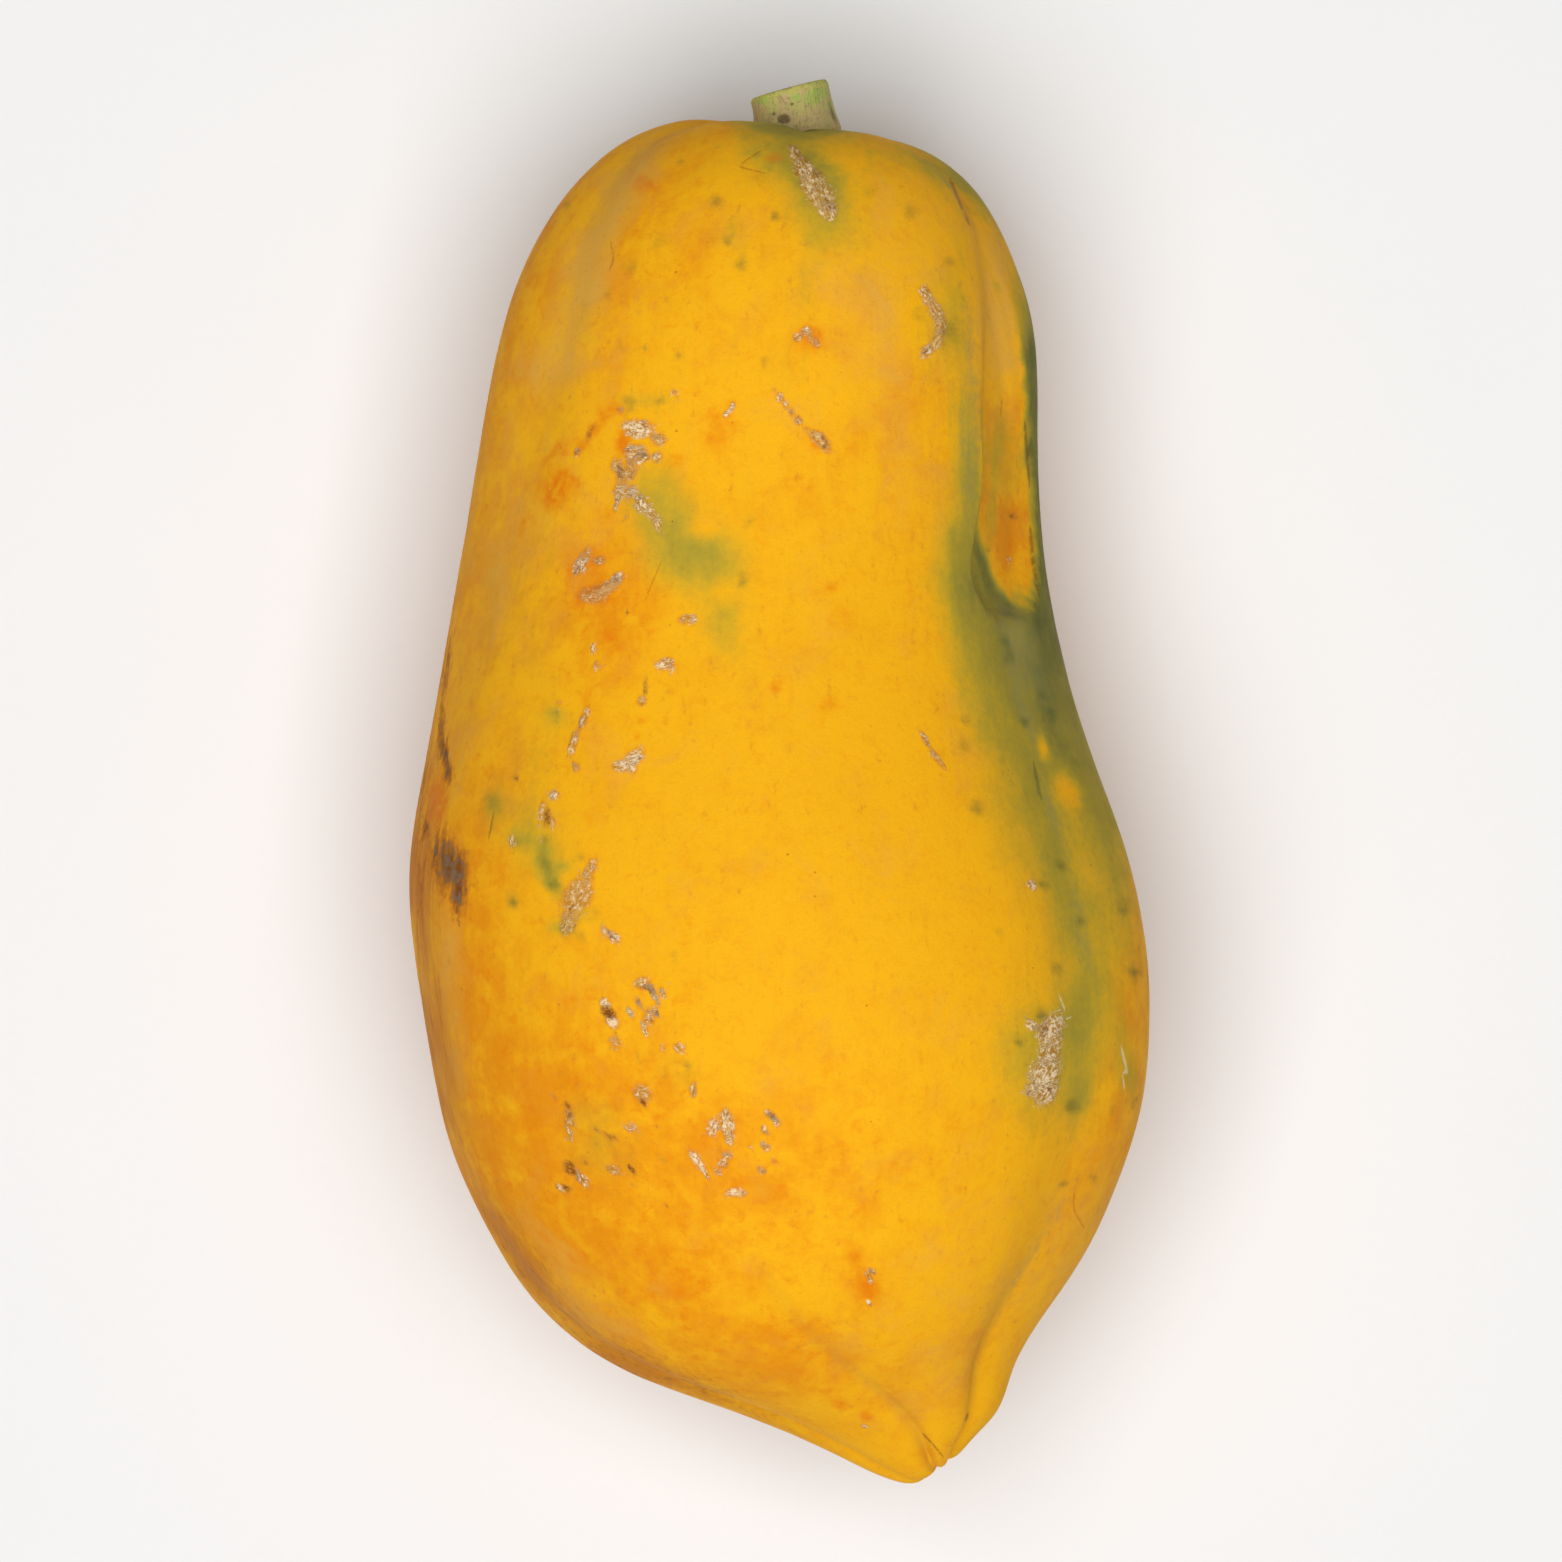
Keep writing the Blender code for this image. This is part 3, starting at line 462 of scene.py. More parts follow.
def spline(at, knots, values):
    """Natural cubic spline through the rows of values at the knots, read at each place."""
    knots = np.asarray(knots, float)
    values = np.asarray(values, float).reshape(len(knots), -1)
    step = np.diff(knots)
    slope = np.diff(values, axis=0) / step[:, None]
    system = np.eye(len(knots))
    right_side = np.zeros_like(values)
    for i in range(1, len(knots) - 1):
        system[i, i - 1 : i + 2] = step[i - 1], 2 * (step[i - 1] + step[i]), step[i]
        right_side[i] = 6 * (slope[i] - slope[i - 1])
    bend = np.linalg.solve(system, right_side)
    at = np.asarray(at, float)
    i = np.clip(np.searchsorted(knots, at) - 1, 0, len(step) - 1)
    width = step[i][:, None]
    before = (at - knots[i])[:, None]
    after = width - before
    cubic = bend[i] * after**3 + bend[i + 1] * before**3
    line = (values[i] / width - bend[i] * width / 6) * after
    line += (values[i + 1] / width - bend[i + 1] * width / 6) * before
    return cubic / (6 * width) + line


def smooth(x):
    """0 below 0, 1 above 1, and an even S between."""
    x = np.clip(x, 0.0, 1.0)
    return x * x * (3 - 2 * x)


def ring_knots():
    """Distance of each ring from the stem's pole, along the skin."""
    rings = np.array(RINGS)
    steps = np.hypot(np.diff(rings[:, 0]), np.diff(rings[:, 1]))
    steps += np.hypot(np.diff(rings[:, 2]), np.diff(rings[:, 3]))
    return np.concatenate([[0], np.cumsum(steps / 2)])


def groove_values(share, table):
    """One column for each groove, at each share of the way along."""
    return spline(share, GROOVE_SHARES, np.transpose(table))


def strip_depth(share, length, theta, radius):
    """How far the sunk strip lies under the skin at each angle, in millimetres."""
    up = (STRIP_END - share) * length
    middle = np.radians(spline(share, STRIP_ANGLE_SHARES, STRIP_ANGLES))
    rounding = np.sqrt(1 - np.clip(1 - up / STRIP_ROUND_END, 0, 1) ** 2)
    narrowing = np.clip(1 - (up / STRIP_LENGTH) ** 2, 0, 1)
    half = math.radians(STRIP_HALF_ANGLE) * rounding * narrowing
    off = (theta - middle + math.pi) % (2 * math.pi) - math.pi
    from_crease = (off + half[:, None]) * radius
    from_lip = (half[:, None] - off) * radius
    bank = CREASE_SHARE * (1 - smooth(-from_crease / CREASE_BANK))
    floor = CREASE_SHARE + (1 - CREASE_SHARE) * smooth(from_crease / FLOOR_FALL)
    softness = smooth((up - STRIP_ROUND_END) / STRIP_SOFTENING)[:, None]
    sharp_wall = 1 - (1 - np.clip(from_lip / LIP_WALL, 0, 1)) ** 2
    soft_wall = smooth(from_lip / (LIP_WALL + (SOFT_WALL - LIP_WALL) * softness))
    wall = sharp_wall + (soft_wall - sharp_wall) * softness
    rise = smooth((up - STRIP_FULL_DEPTH) / (STRIP_LENGTH - STRIP_FULL_DEPTH))
    fade = smooth(up / END_WALL + 0.2) * (1 - rise)
    return STRIP_DEPTH * fade[:, None] * np.where(from_crease < 0, bank, floor) * wall


def fitted(values, half):
    """Scales each ring's values, its positive and negative ones apart, to end at half."""
    ahead = values * (half / values.max(1))[:, None]
    behind = values * (half / -values.min(1))[:, None]
    return np.where(values > 0, ahead, behind)


def lobe_places(angles, depths, soft):
    """Angle, drop and distance from the nearest groove at every column of every lobe."""
    theta, drop, gap, keen = [], [], [], []
    for lobe, columns in enumerate(LOBE_COLUMNS):
        after = (lobe + 1) % LOBES
        even = np.arange(columns) / columns
        place = (even - GROOVE_CROWDING * np.sin(2 * math.pi * even))[None, :]
        start = angles[:, lobe : lobe + 1]
        end = angles[:, after : after + 1] + (2 * math.pi if after == 0 else 0)
        blend = smooth(place)
        depth = depths[:, lobe : lobe + 1] * (1 - blend) + depths[:, after : after + 1] * blend
        softness = soft[:, lobe : lobe + 1] * (1 - blend) + soft[:, after : after + 1] * blend
        arch = np.sqrt(np.sin(math.pi * place) ** 2 + softness**2) - softness
        arch /= np.sqrt(1 + softness**2) - softness
        theta.append(start + (end - start) * place)
        drop.append(depth * (1 - arch) ** GROOVE_NARROWING)
        near_start = place < 0.5
        gap.append(np.where(near_start, place, place - 1) * (end - start))
        keen.append(np.where(near_start, soft[:, lobe : lobe + 1], soft[:, after : after + 1]))
    return [np.hstack(parts) for parts in (theta, drop, gap, keen)]


def skin_points(rings_along):
    """The fine skin's points in millimetres, with what the marks need to know of each."""
    knots = ring_knots()
    length = knots[-1]
    even = np.arange(1, rings_along + 1) / (rings_along + 1)
    share = even - END_CROWDING * np.sin(2 * math.pi * even)
    rows = spline(share * length, knots, RINGS)
    left, right, low, high = rows[:, 0:2], rows[:, 2:4], rows[:, 4], rows[:, 5]
    middle = (left + right) / 2
    half_wide = (right - left) / 2
    wide = np.linalg.norm(half_wide, axis=1)
    tall = (high - low) / 2
    travelled = np.linalg.norm(np.gradient(middle, axis=0), axis=1)
    onward = np.column_stack([half_wide[:, 1], -half_wide[:, 0]]) / wide[:, None]
    slope = np.arctan2(-np.gradient((wide + tall) / 2), travelled)

    angles = np.radians(groove_values(share, GROOVE_ANGLES))
    depths = np.clip(groove_values(share, GROOVE_DEPTHS), 0, None)
    depths *= np.minimum(1, wide / POLE_RADIUS)[:, None]
    soft = np.clip(groove_values(share, GROOVE_SOFTNESS), LEAST_SOFTNESS, None)
    theta, drop, gap, softness = lobe_places(angles, depths, soft)

    across = wide[:, None] * np.cos(theta)
    upward = tall[:, None] * np.sin(theta)
    radius = np.hypot(across, upward)
    kept = 1 - drop * np.cos(slope)[:, None] / radius
    across = fitted(across * kept, wide)
    upward = fitted(upward * kept, tall)
    sunk = strip_depth(share, length, theta, radius)
    across *= 1 - sunk / radius
    upward *= 1 - sunk / radius

    lean = END_LEAN * smooth((share - END_LEAN_SHARE) / (1 - END_LEAN_SHARE))
    back = drop * np.sin(slope)[:, None] + lean[:, None] * np.clip(-np.sin(theta), 0, 1)
    grid = np.empty(across.shape + (3,))
    chord = half_wide / wide[:, None]
    grid[:, :, :2] = middle[:, None, :] + chord[:, None, :] * across[:, :, None]
    grid[:, :, :2] -= onward[:, None, :] * back[:, :, None]
    grid[:, :, 2] = ((low + high) / 2)[:, None] + upward
    facts = {
        "theta": theta,
        "groove_gap": gap * radius,
        "groove_keen": np.clip(1 - softness / 0.5, 0, 1) * np.minimum(1, drop / 0.6),
        "strip": sunk / STRIP_DEPTH,
    }
    return grid, facts


def with_poles(values, first, last):
    """The values at all points: the first pole, the rings one after another, the last pole."""
    flat = values.reshape((-1,) + values.shape[2:])
    return np.concatenate([[first], flat, [last]])


def loft_faces(rings, columns):
    """Faces over rings of points, with a fan at each pole, as lists of point numbers."""
    ring = np.arange(rings - 1)[:, None] * columns + 1
    here = np.arange(columns)[None, :]
    before = (here - 1) % columns
    corners = (ring + here, ring + columns + here, ring + columns + before, ring + before)
    quads = np.stack([np.broadcast_to(c, (rings - 1, columns)) for c in corners], axis=-1)
    last = 1 + rings * columns
    tail = last - columns
    fans = [(0, int(h) + 1, int(b) + 1) for h, b in zip(here[0], before[0])]
    fans += [(last, tail + int(b), tail + int(h)) for h, b in zip(here[0], before[0])]
    return quads.reshape(-1, 4).tolist() + fans


def seen_from_above(points):
    """Where the camera sees each point, in millimetres at the life-size height."""
    depth = CAMERA_DISTANCE - (points[:, 2] - LIFE_SIZE_HEIGHT)
    return points[:, :2] * (CAMERA_DISTANCE / depth)[:, None]


def around(points, facts):
    """Each point's place on the unrolled skin: along its girth and along the fruit."""
    return np.column_stack([facts["theta"] * GIRTH_RADIUS, points[:, 1]])


def scattered_scars():
    """Cork scars in loose clusters on the underside, in unrolled millimetres."""
    chance = np.random.default_rng(SCAR_SEED)
    rows = []
    for x, y, spread, count in CLUSTERS_BELOW:
        for _ in range(count):
            off = chance.normal(0, spread, 2)
            half = chance.uniform(0.5, 1.9)
            size = (half, half * chance.uniform(0.35, 0.7))
            tilt_and_white = (chance.uniform(-90, 90), chance.uniform(0.35, 1.0))
            rows.append((x + off[0], y + off[1], *size, *tilt_and_white))
    return rows


def scattered_spots():
    """Green-grey spots all over the underside, in unrolled millimetres."""
    chance = np.random.default_rng(SPOT_SEED)
    places = chance.uniform(*SPOT_AREA_BELOW, (SPOTS_BELOW, 2))
    sizes = chance.uniform(0.6, 1.4, SPOTS_BELOW)
    return [(x, y, size, size, 0, 0.7) for (x, y), size in zip(places, sizes)]


def in_mark(seen, row):
    """Place along and across a mark, in halves of its length and width."""
    x, y, half_length, half_width, tilt = row[:5]
    turn = math.radians(tilt)
    dx, dy = seen[:, 0] - x, seen[:, 1] - y
    along = dx * math.cos(turn) + dy * math.sin(turn)
    across = dy * math.cos(turn) - dx * math.sin(turn)
    return along / half_length, across / half_width


def tone(seen, rows):
    """Soft tones laid over each other."""
    left_bare = np.ones(len(seen))
    for row in rows:
        along, across = in_mark(seen, row)
        left_bare *= 1 - np.minimum(0.98, row[5] * 0.5 ** (along**2 + across**2))
    return 1 - left_bare


def patch(seen, rows):
    """The strongest mark at each point: its strength in the middle and half at its edge."""
    value = np.zeros(len(seen))
    for row in rows:
        along, across = in_mark(seen, row)
        value = np.maximum(value, row[5] * 0.5 ** (along**2 + across**2))
    return value


def scar_tissue(seen, rows):
    """Cork at each point, how white it is, and the place along its grain in millimetres."""
    value = np.zeros(len(seen))
    white = np.zeros(len(seen))
    place = np.zeros((len(seen), 3))
    for number, row in enumerate(rows):
        along, across = in_mark(seen, row)
        strength = 0.5 ** (along**2 + across**2)
        here = strength > value
        value[here] = strength[here]
        white[here] = row[5]
        place[here, 0] = along[here] * row[2]
        place[here, 1] = across[here] * row[3]
        place[here, 2] = SCAR_SPACING * number
    return value, white, place


def nearest_stroke(seen, strokes):
    """For the nearest stroke: distance across it, its half width there, how pale it is."""
    best = np.full(len(seen), np.inf)
    made = np.zeros((len(seen), 3))
    for half_width, pale, *points in strokes:
        ends = np.array(points)
        for i in range(len(ends) - 1):
            step = ends[i + 1] - ends[i]
            long = np.linalg.norm(step)
            step /= long
            off = seen - ends[i]
            along = off @ step
            across = off[:, 1] * step[0] - off[:, 0] * step[1]
            over = np.maximum(along - long, -along)
            distance = np.hypot(np.maximum(over, 0), across)
            here = distance < best
            best[here] = distance[here]
            first, final = i == 0, i == len(ends) - 2
            loose = np.where(along < 0, first, final) & (over > 0)
            taper = np.where(loose, np.clip(1 - over / 1.0, 0, 1), 1)
            taper *= 1 - smooth((np.abs(across) - 1.5) / 1.0)
            made[here, 0] = across[here]
            made[here, 1] = (half_width * taper)[here]
            made[here, 2] = pale
    return made


def waver(points, size, reach, seed):
    """A steady, soft wander of each point, in millimetres."""
    noise.seed_set(WANDER_SEED)
    shift = Vector((seed, seed * 0.37, -seed))
    rows = [noise.noise_vector(Vector(p) / size + shift) for p in points]
    return np.array(rows) * reach


def cloudiness(points, size, seed):
    """Soft noise between about -1 and 1 at each point."""
    shift = Vector((seed, -seed, seed * 0.61))
    return np.array([noise.noise(Vector(p) / size + shift) for p in points])


def skin_marks(points, facts):
    """All attributes of the skin, by name."""
    seen = seen_from_above(points)
    wander = waver(points, *WAVES)[:, :2] + waver(points, *SMALL_WAVES)[:, :2]
    loose = seen + wander
    near = seen + waver(points, *FAINT_WAVES)[:, :2]
    upper = smooth((np.sin(facts["theta"]) + 0.35) / 0.4)
    cork, white, place = scar_tissue(near, SCARS)
    spots = [(x, y, r, r, 0, s) for x, y, r, s in GREEN_SPOTS]
    strokes = nearest_stroke(seen, STROKES_AND_CREASE_SHADE)
    strokes[:, 1] *= upper
    clear = tone(loose, YELLOW)
    inside = smooth((facts["strip"] - 0.04) / 0.12)
    floor = smooth((patch(near, POCKET_FLOOR) - 0.35) / 0.35) * inside
    # Green skin under the lip, darkened as painted shade in the recess
    lip_green_and_shade = tone(near, POCKET_GREEN_AND_SHADE) * inside
    green = (np.maximum(tone(loose, GREEN) * (1 - clear), lip_green_and_shade)) * (1 - 0.92 * floor)
    green += 0.5 * tone(near, POCKET_TINTS) * inside
    amber = np.maximum(0.15 + tone(loose, AMBER), 0.45 * floor * smooth((84 - seen[:, 1]) / 12))
    lower = 1 - upper
    below = around(points, facts) + wander
    cork_below, white_below, place_below = scar_tissue(below, scattered_scars())
    hidden = cork_below * lower > cork * upper
    cork = np.where(hidden, cork_below * lower, cork * upper)
    white = np.where(hidden, white_below, white)
    place = np.where(hidden[:, None], place_below, place)
    ripeness = 0.45 + 0.7 * cloudiness(points, *RIPE_CLOUDS)
    unripe = 0.75 * smooth(1.4 * cloudiness(points, *UNRIPE_CLOUDS) - 0.1)
    near_stem = smooth((points[:, 1] - 96) / 34)
    unripe = np.maximum(unripe, 0.6 * near_stem)
    dull = 0.2 + 0.9 * cloudiness(points, *DULL_CLOUDS)
    height = np.sin(facts["theta"])
    side = smooth((0.4 - height) / 0.5)
    # The rust along the sides is also painted shade that darkens the fruit's edges
    broken = np.clip(0.5 - 1.3 * cloudiness(points, *RUST_AND_SHADE_CLOUDS), 0, 0.9)
    fading = smooth((height + 0.75 + 0.9 * cloudiness(points, *RUST_AND_SHADE_EDGE_CLOUDS)) / 0.5)
    rusty_and_shaded = (1 - side * broken) * fading
    marks = {
        "amber": amber * (1 - 0.8 * clear) * upper + ripeness * lower,
        # Bloom with painted sheen on the upper side, dull clouds below
        "bloom_and_sheen": tone(loose, BLOOM_AND_SHEEN) * upper + np.clip(dull, 0, 1) * lower,
        "rust_and_edge_shade": tone(near, RUST_AND_EDGE_SHADE) * rusty_and_shaded,
        "ash": tone(near, ASH) * upper,
        "neck": 0.25 + 0.75 * smooth((points[:, 1] - 10) / 70),
        "green": green * upper + unripe * lower,
        "deep_orange": patch(near, DEEP_ORANGE) * upper + patch(below, BLOTCHES_BELOW) * lower,
        "bruise": patch(near, BRUISE) * upper,
        "green_spot": patch(near, spots) * upper + patch(below, scattered_spots()) * lower,
        "brown": patch(near, BROWN) * upper,
        "cork": cork,
        "cork_white": white,
    }
    grains = {
        "cork_place": place,
        "stroke": strokes,
        "groove": np.column_stack(
            [facts["groove_gap"], facts["groove_keen"], np.zeros(len(points))]
        ),
    }
    return marks, grains


def relief(points, marks):
    """How far each point stands out of the smooth skin, in millimetres."""
    out = sum(depth * cloudiness(points, size, seed) for depth, size, seed in DENTS)
    out += CORK_RISE * smooth((marks["cork"] - 0.35) / 0.3)
    out -= TISSUE_DROP * smooth((marks["brown"] - 0.5) / 0.4)
    out -= TISSUE_DROP * smooth((marks["bruise"] - 0.4) / 0.4)
    return out


def link_object(name, data):
    made = bpy.data.objects.new(name, data)
    bpy.context.scene.collection.objects.link(made)
    return made


def mesh_object(name, points, faces):
    """A smooth-shaded mesh object from points in millimetres."""
    data = bpy.data.meshes.new(name)
    data.from_pydata((np.asarray(points) * MM).tolist(), [], faces)
    data.shade_smooth()
    data.update()
    return link_object(name, data)


def keep_attribute(data, name, values):
    """Writes one number or one vector a point into the mesh."""
    vector = values.ndim == 2
    kept = data.attributes.new(name, "FLOAT_VECTOR" if vector else "FLOAT", "POINT")
    kept.data.foreach_set("vector" if vector else "value", values.astype(np.float32).ravel())


class Field:
    """A value or colour that changes over the surface. Fields add up as numbers do."""

    def __init__(self, tree, socket):
        self.tree = tree
        self.socket = socket

    def __add__(self, other):
        return sums("ADD", self, other)

    def __sub__(self, other):
        return sums("SUBTRACT", self, other)

    def __rsub__(self, other):
        return sums("SUBTRACT", other, self)

    def __mul__(self, other):
        return sums("MULTIPLY", self, other)


def fill(tree, socket, value):
    """Links a field to a socket, or sets a plain value or colour on it."""
    if isinstance(value, Field):
        tree.links.new(value.socket, socket)
    elif socket.type == "RGBA":
        socket.default_value = (*value, 1.0)
    else:
        socket.default_value = value


def add(tree, kind, inputs=None, **settings):
    """A new node with its settings, and with values or fields in its inputs."""
    node = tree.nodes.new("ShaderNode" + kind)
    for name, value in settings.items():
        setattr(node, name, value)
    for key, value in (inputs or {}).items():
        fill(tree, node.inputs[key], value)
    return node


def sums(operation, *values):
    """The sum, difference, product or the like of fields and numbers."""
    tree = next(value.tree for value in values if isinstance(value, Field))
    node = add(tree, "Math", dict(enumerate(values)), operation=operation)
    return Field(tree, node.outputs[0])


def step_up(value, low, high, top=1.0):
    """0 below low, top above high, and an even S between."""
    inputs = {"Value": value, "From Min": low, "From Max": high, "To Max": top}
    node = add(value.tree, "MapRange", inputs, interpolation_type="SMOOTHSTEP")
    return Field(value.tree, node.outputs[0])


def blended(share, first, second):
    """The first colour with the second laid over it by a share."""
    node = add(share.tree, "Mix", {0: share, 6: first, 7: second}, data_type="RGBA")
    return Field(share.tree, node.outputs[2])


def layered(colour, *layers):
    """The colour with the colour of each layer laid over it by the layer's share."""
    for share, over in layers:
        colour = blended(share, colour, over)
    return colour


def varied(value, *noises):
    """The value with noises added that vary round 0, each by its own amount."""
    for noise_value, amount in noises:
        value = value + (noise_value - 0.5) * amount
    return value


def read(tree, name, output="Fac"):
    """An attribute of the mesh."""
    return Field(tree, add(tree, "Attribute", attribute_name=name).outputs[output])


def parts(vector):
    """The three numbers of a vector field."""
    node = add(vector.tree, "SeparateXYZ", {0: vector})
    return [Field(vector.tree, output) for output in node.outputs]


def stretched(place, scale):
    return Field(place.tree, add(place.tree, "Mapping", {0: place, "Scale": scale}).outputs[0])


def cloud(place, size, detail=2.0, roughness=0.5, twist=0.0):
    """Noise between 0 and 1 whose blots are about size across, in the units of place."""
    inputs = {"Vector": place, "Scale": 1.0 / size, "Detail": detail}
    inputs |= {"Roughness": roughness, "Distortion": twist}
    return Field(place.tree, add(place.tree, "TexNoise", inputs).outputs[0])


def millimetres(tree):
    """The place on the object in millimetres."""
    place = Field(tree, add(tree, "TexCoord").outputs["Object"])
    scaled = add(tree, "VectorMath", {0: place, "Scale": 1 / MM}, operation="SCALE")
    return Field(tree, scaled.outputs[0])


def new_group(name, defaults, build):
    """A node group with a place and some numbers as inputs and a mask as output."""
    if name in bpy.data.node_groups:
        return bpy.data.node_groups[name]
    group = bpy.data.node_groups.new(name, "ShaderNodeTree")
    group.interface.new_socket("Place", in_out="INPUT", socket_type="NodeSocketVector")
    for label, default in defaults.items():
        socket = group.interface.new_socket(label, in_out="INPUT", socket_type="NodeSocketFloat")
        socket.default_value = default
    group.interface.new_socket("Mask", in_out="OUTPUT", socket_type="NodeSocketFloat")
    start = group.nodes.new("NodeGroupInput")
    end = group.nodes.new("NodeGroupOutput")
    mask = build(group, *[Field(group, socket) for socket in start.outputs if socket.name])
    fill(group, end.inputs["Mask"], mask)
    return group


def ragged_edge(group, place, field, edge, softness, raggedness, grain):
    inputs = {"Vector": place, "Scale": sums("DIVIDE", 1.0, grain)}
    inputs |= {"Detail": 3.0, "Roughness": 0.6}
    wander = Field(group, add(group, "TexNoise", inputs).outputs[0])
    return step_up((wander - 0.5) * raggedness + field, edge - softness, edge + softness)


def specks(group, place, spacing, size, share):
    cells = add(group, "TexVoronoi", {"Vector": place, "Scale": sums("DIVIDE", 1.0, spacing)})
    colour = Field(group, cells.outputs["Color"])
    chance = Field(group, add(group, "SeparateColor", {0: colour}).outputs[0])
    distance = Field(group, cells.outputs["Distance"])
    near = 1.0 - step_up(distance, 0.0, size * (chance + 0.6))
    return near * sums("LESS_THAN", chance, share)


def grouped(place, name, defaults, build, *values):
    """The mask of a node group, placed with its own values."""
    inputs = {"Place": place, **dict(zip(defaults, values))}
    node = add(place.tree, "Group", inputs, node_tree=new_group(name, defaults, build))
    return Field(place.tree, node.outputs[0])


RAGGED_DEFAULTS = {"Field": 0.0, "Edge": 0.5, "Softness": 0.1, "Raggedness": 0.4, "Grain": 1.0}
SPECK_DEFAULTS = {"Spacing": 3.0, "Size": 0.12, "Share": 0.5}


def ragged(place, *values):
    """A soft field cut at its edge value, with a ragged outline."""
    return grouped(place, "Ragged edge", RAGGED_DEFAULTS, ragged_edge, *values)


def speckle(place, *values):
    """Small round specks scattered one to a cell, in a share of the cells."""
    return grouped(place, "Speckle", SPECK_DEFAULTS, specks, *values)


def new_material(name):
    made = bpy.data.materials.new(name)
    made.use_nodes = True
    return made, made.node_tree, made.node_tree.nodes["Principled BSDF"]


def finish_shader(tree, shader, colour, height, distance, specular, roughness):
    """Puts the colour, the fine relief and the gloss on the shader."""
    bump = add(tree, "Bump", {"Height": height, "Strength": 1.0, "Distance": distance})
    fill(tree, shader.inputs["Base Color"], colour)
    fill(tree, shader.inputs["Normal"], Field(tree, bump.outputs[0]))
    fill(tree, shader.inputs["Specular IOR Level"], specular)
    fill(tree, shader.inputs["Roughness"], roughness)


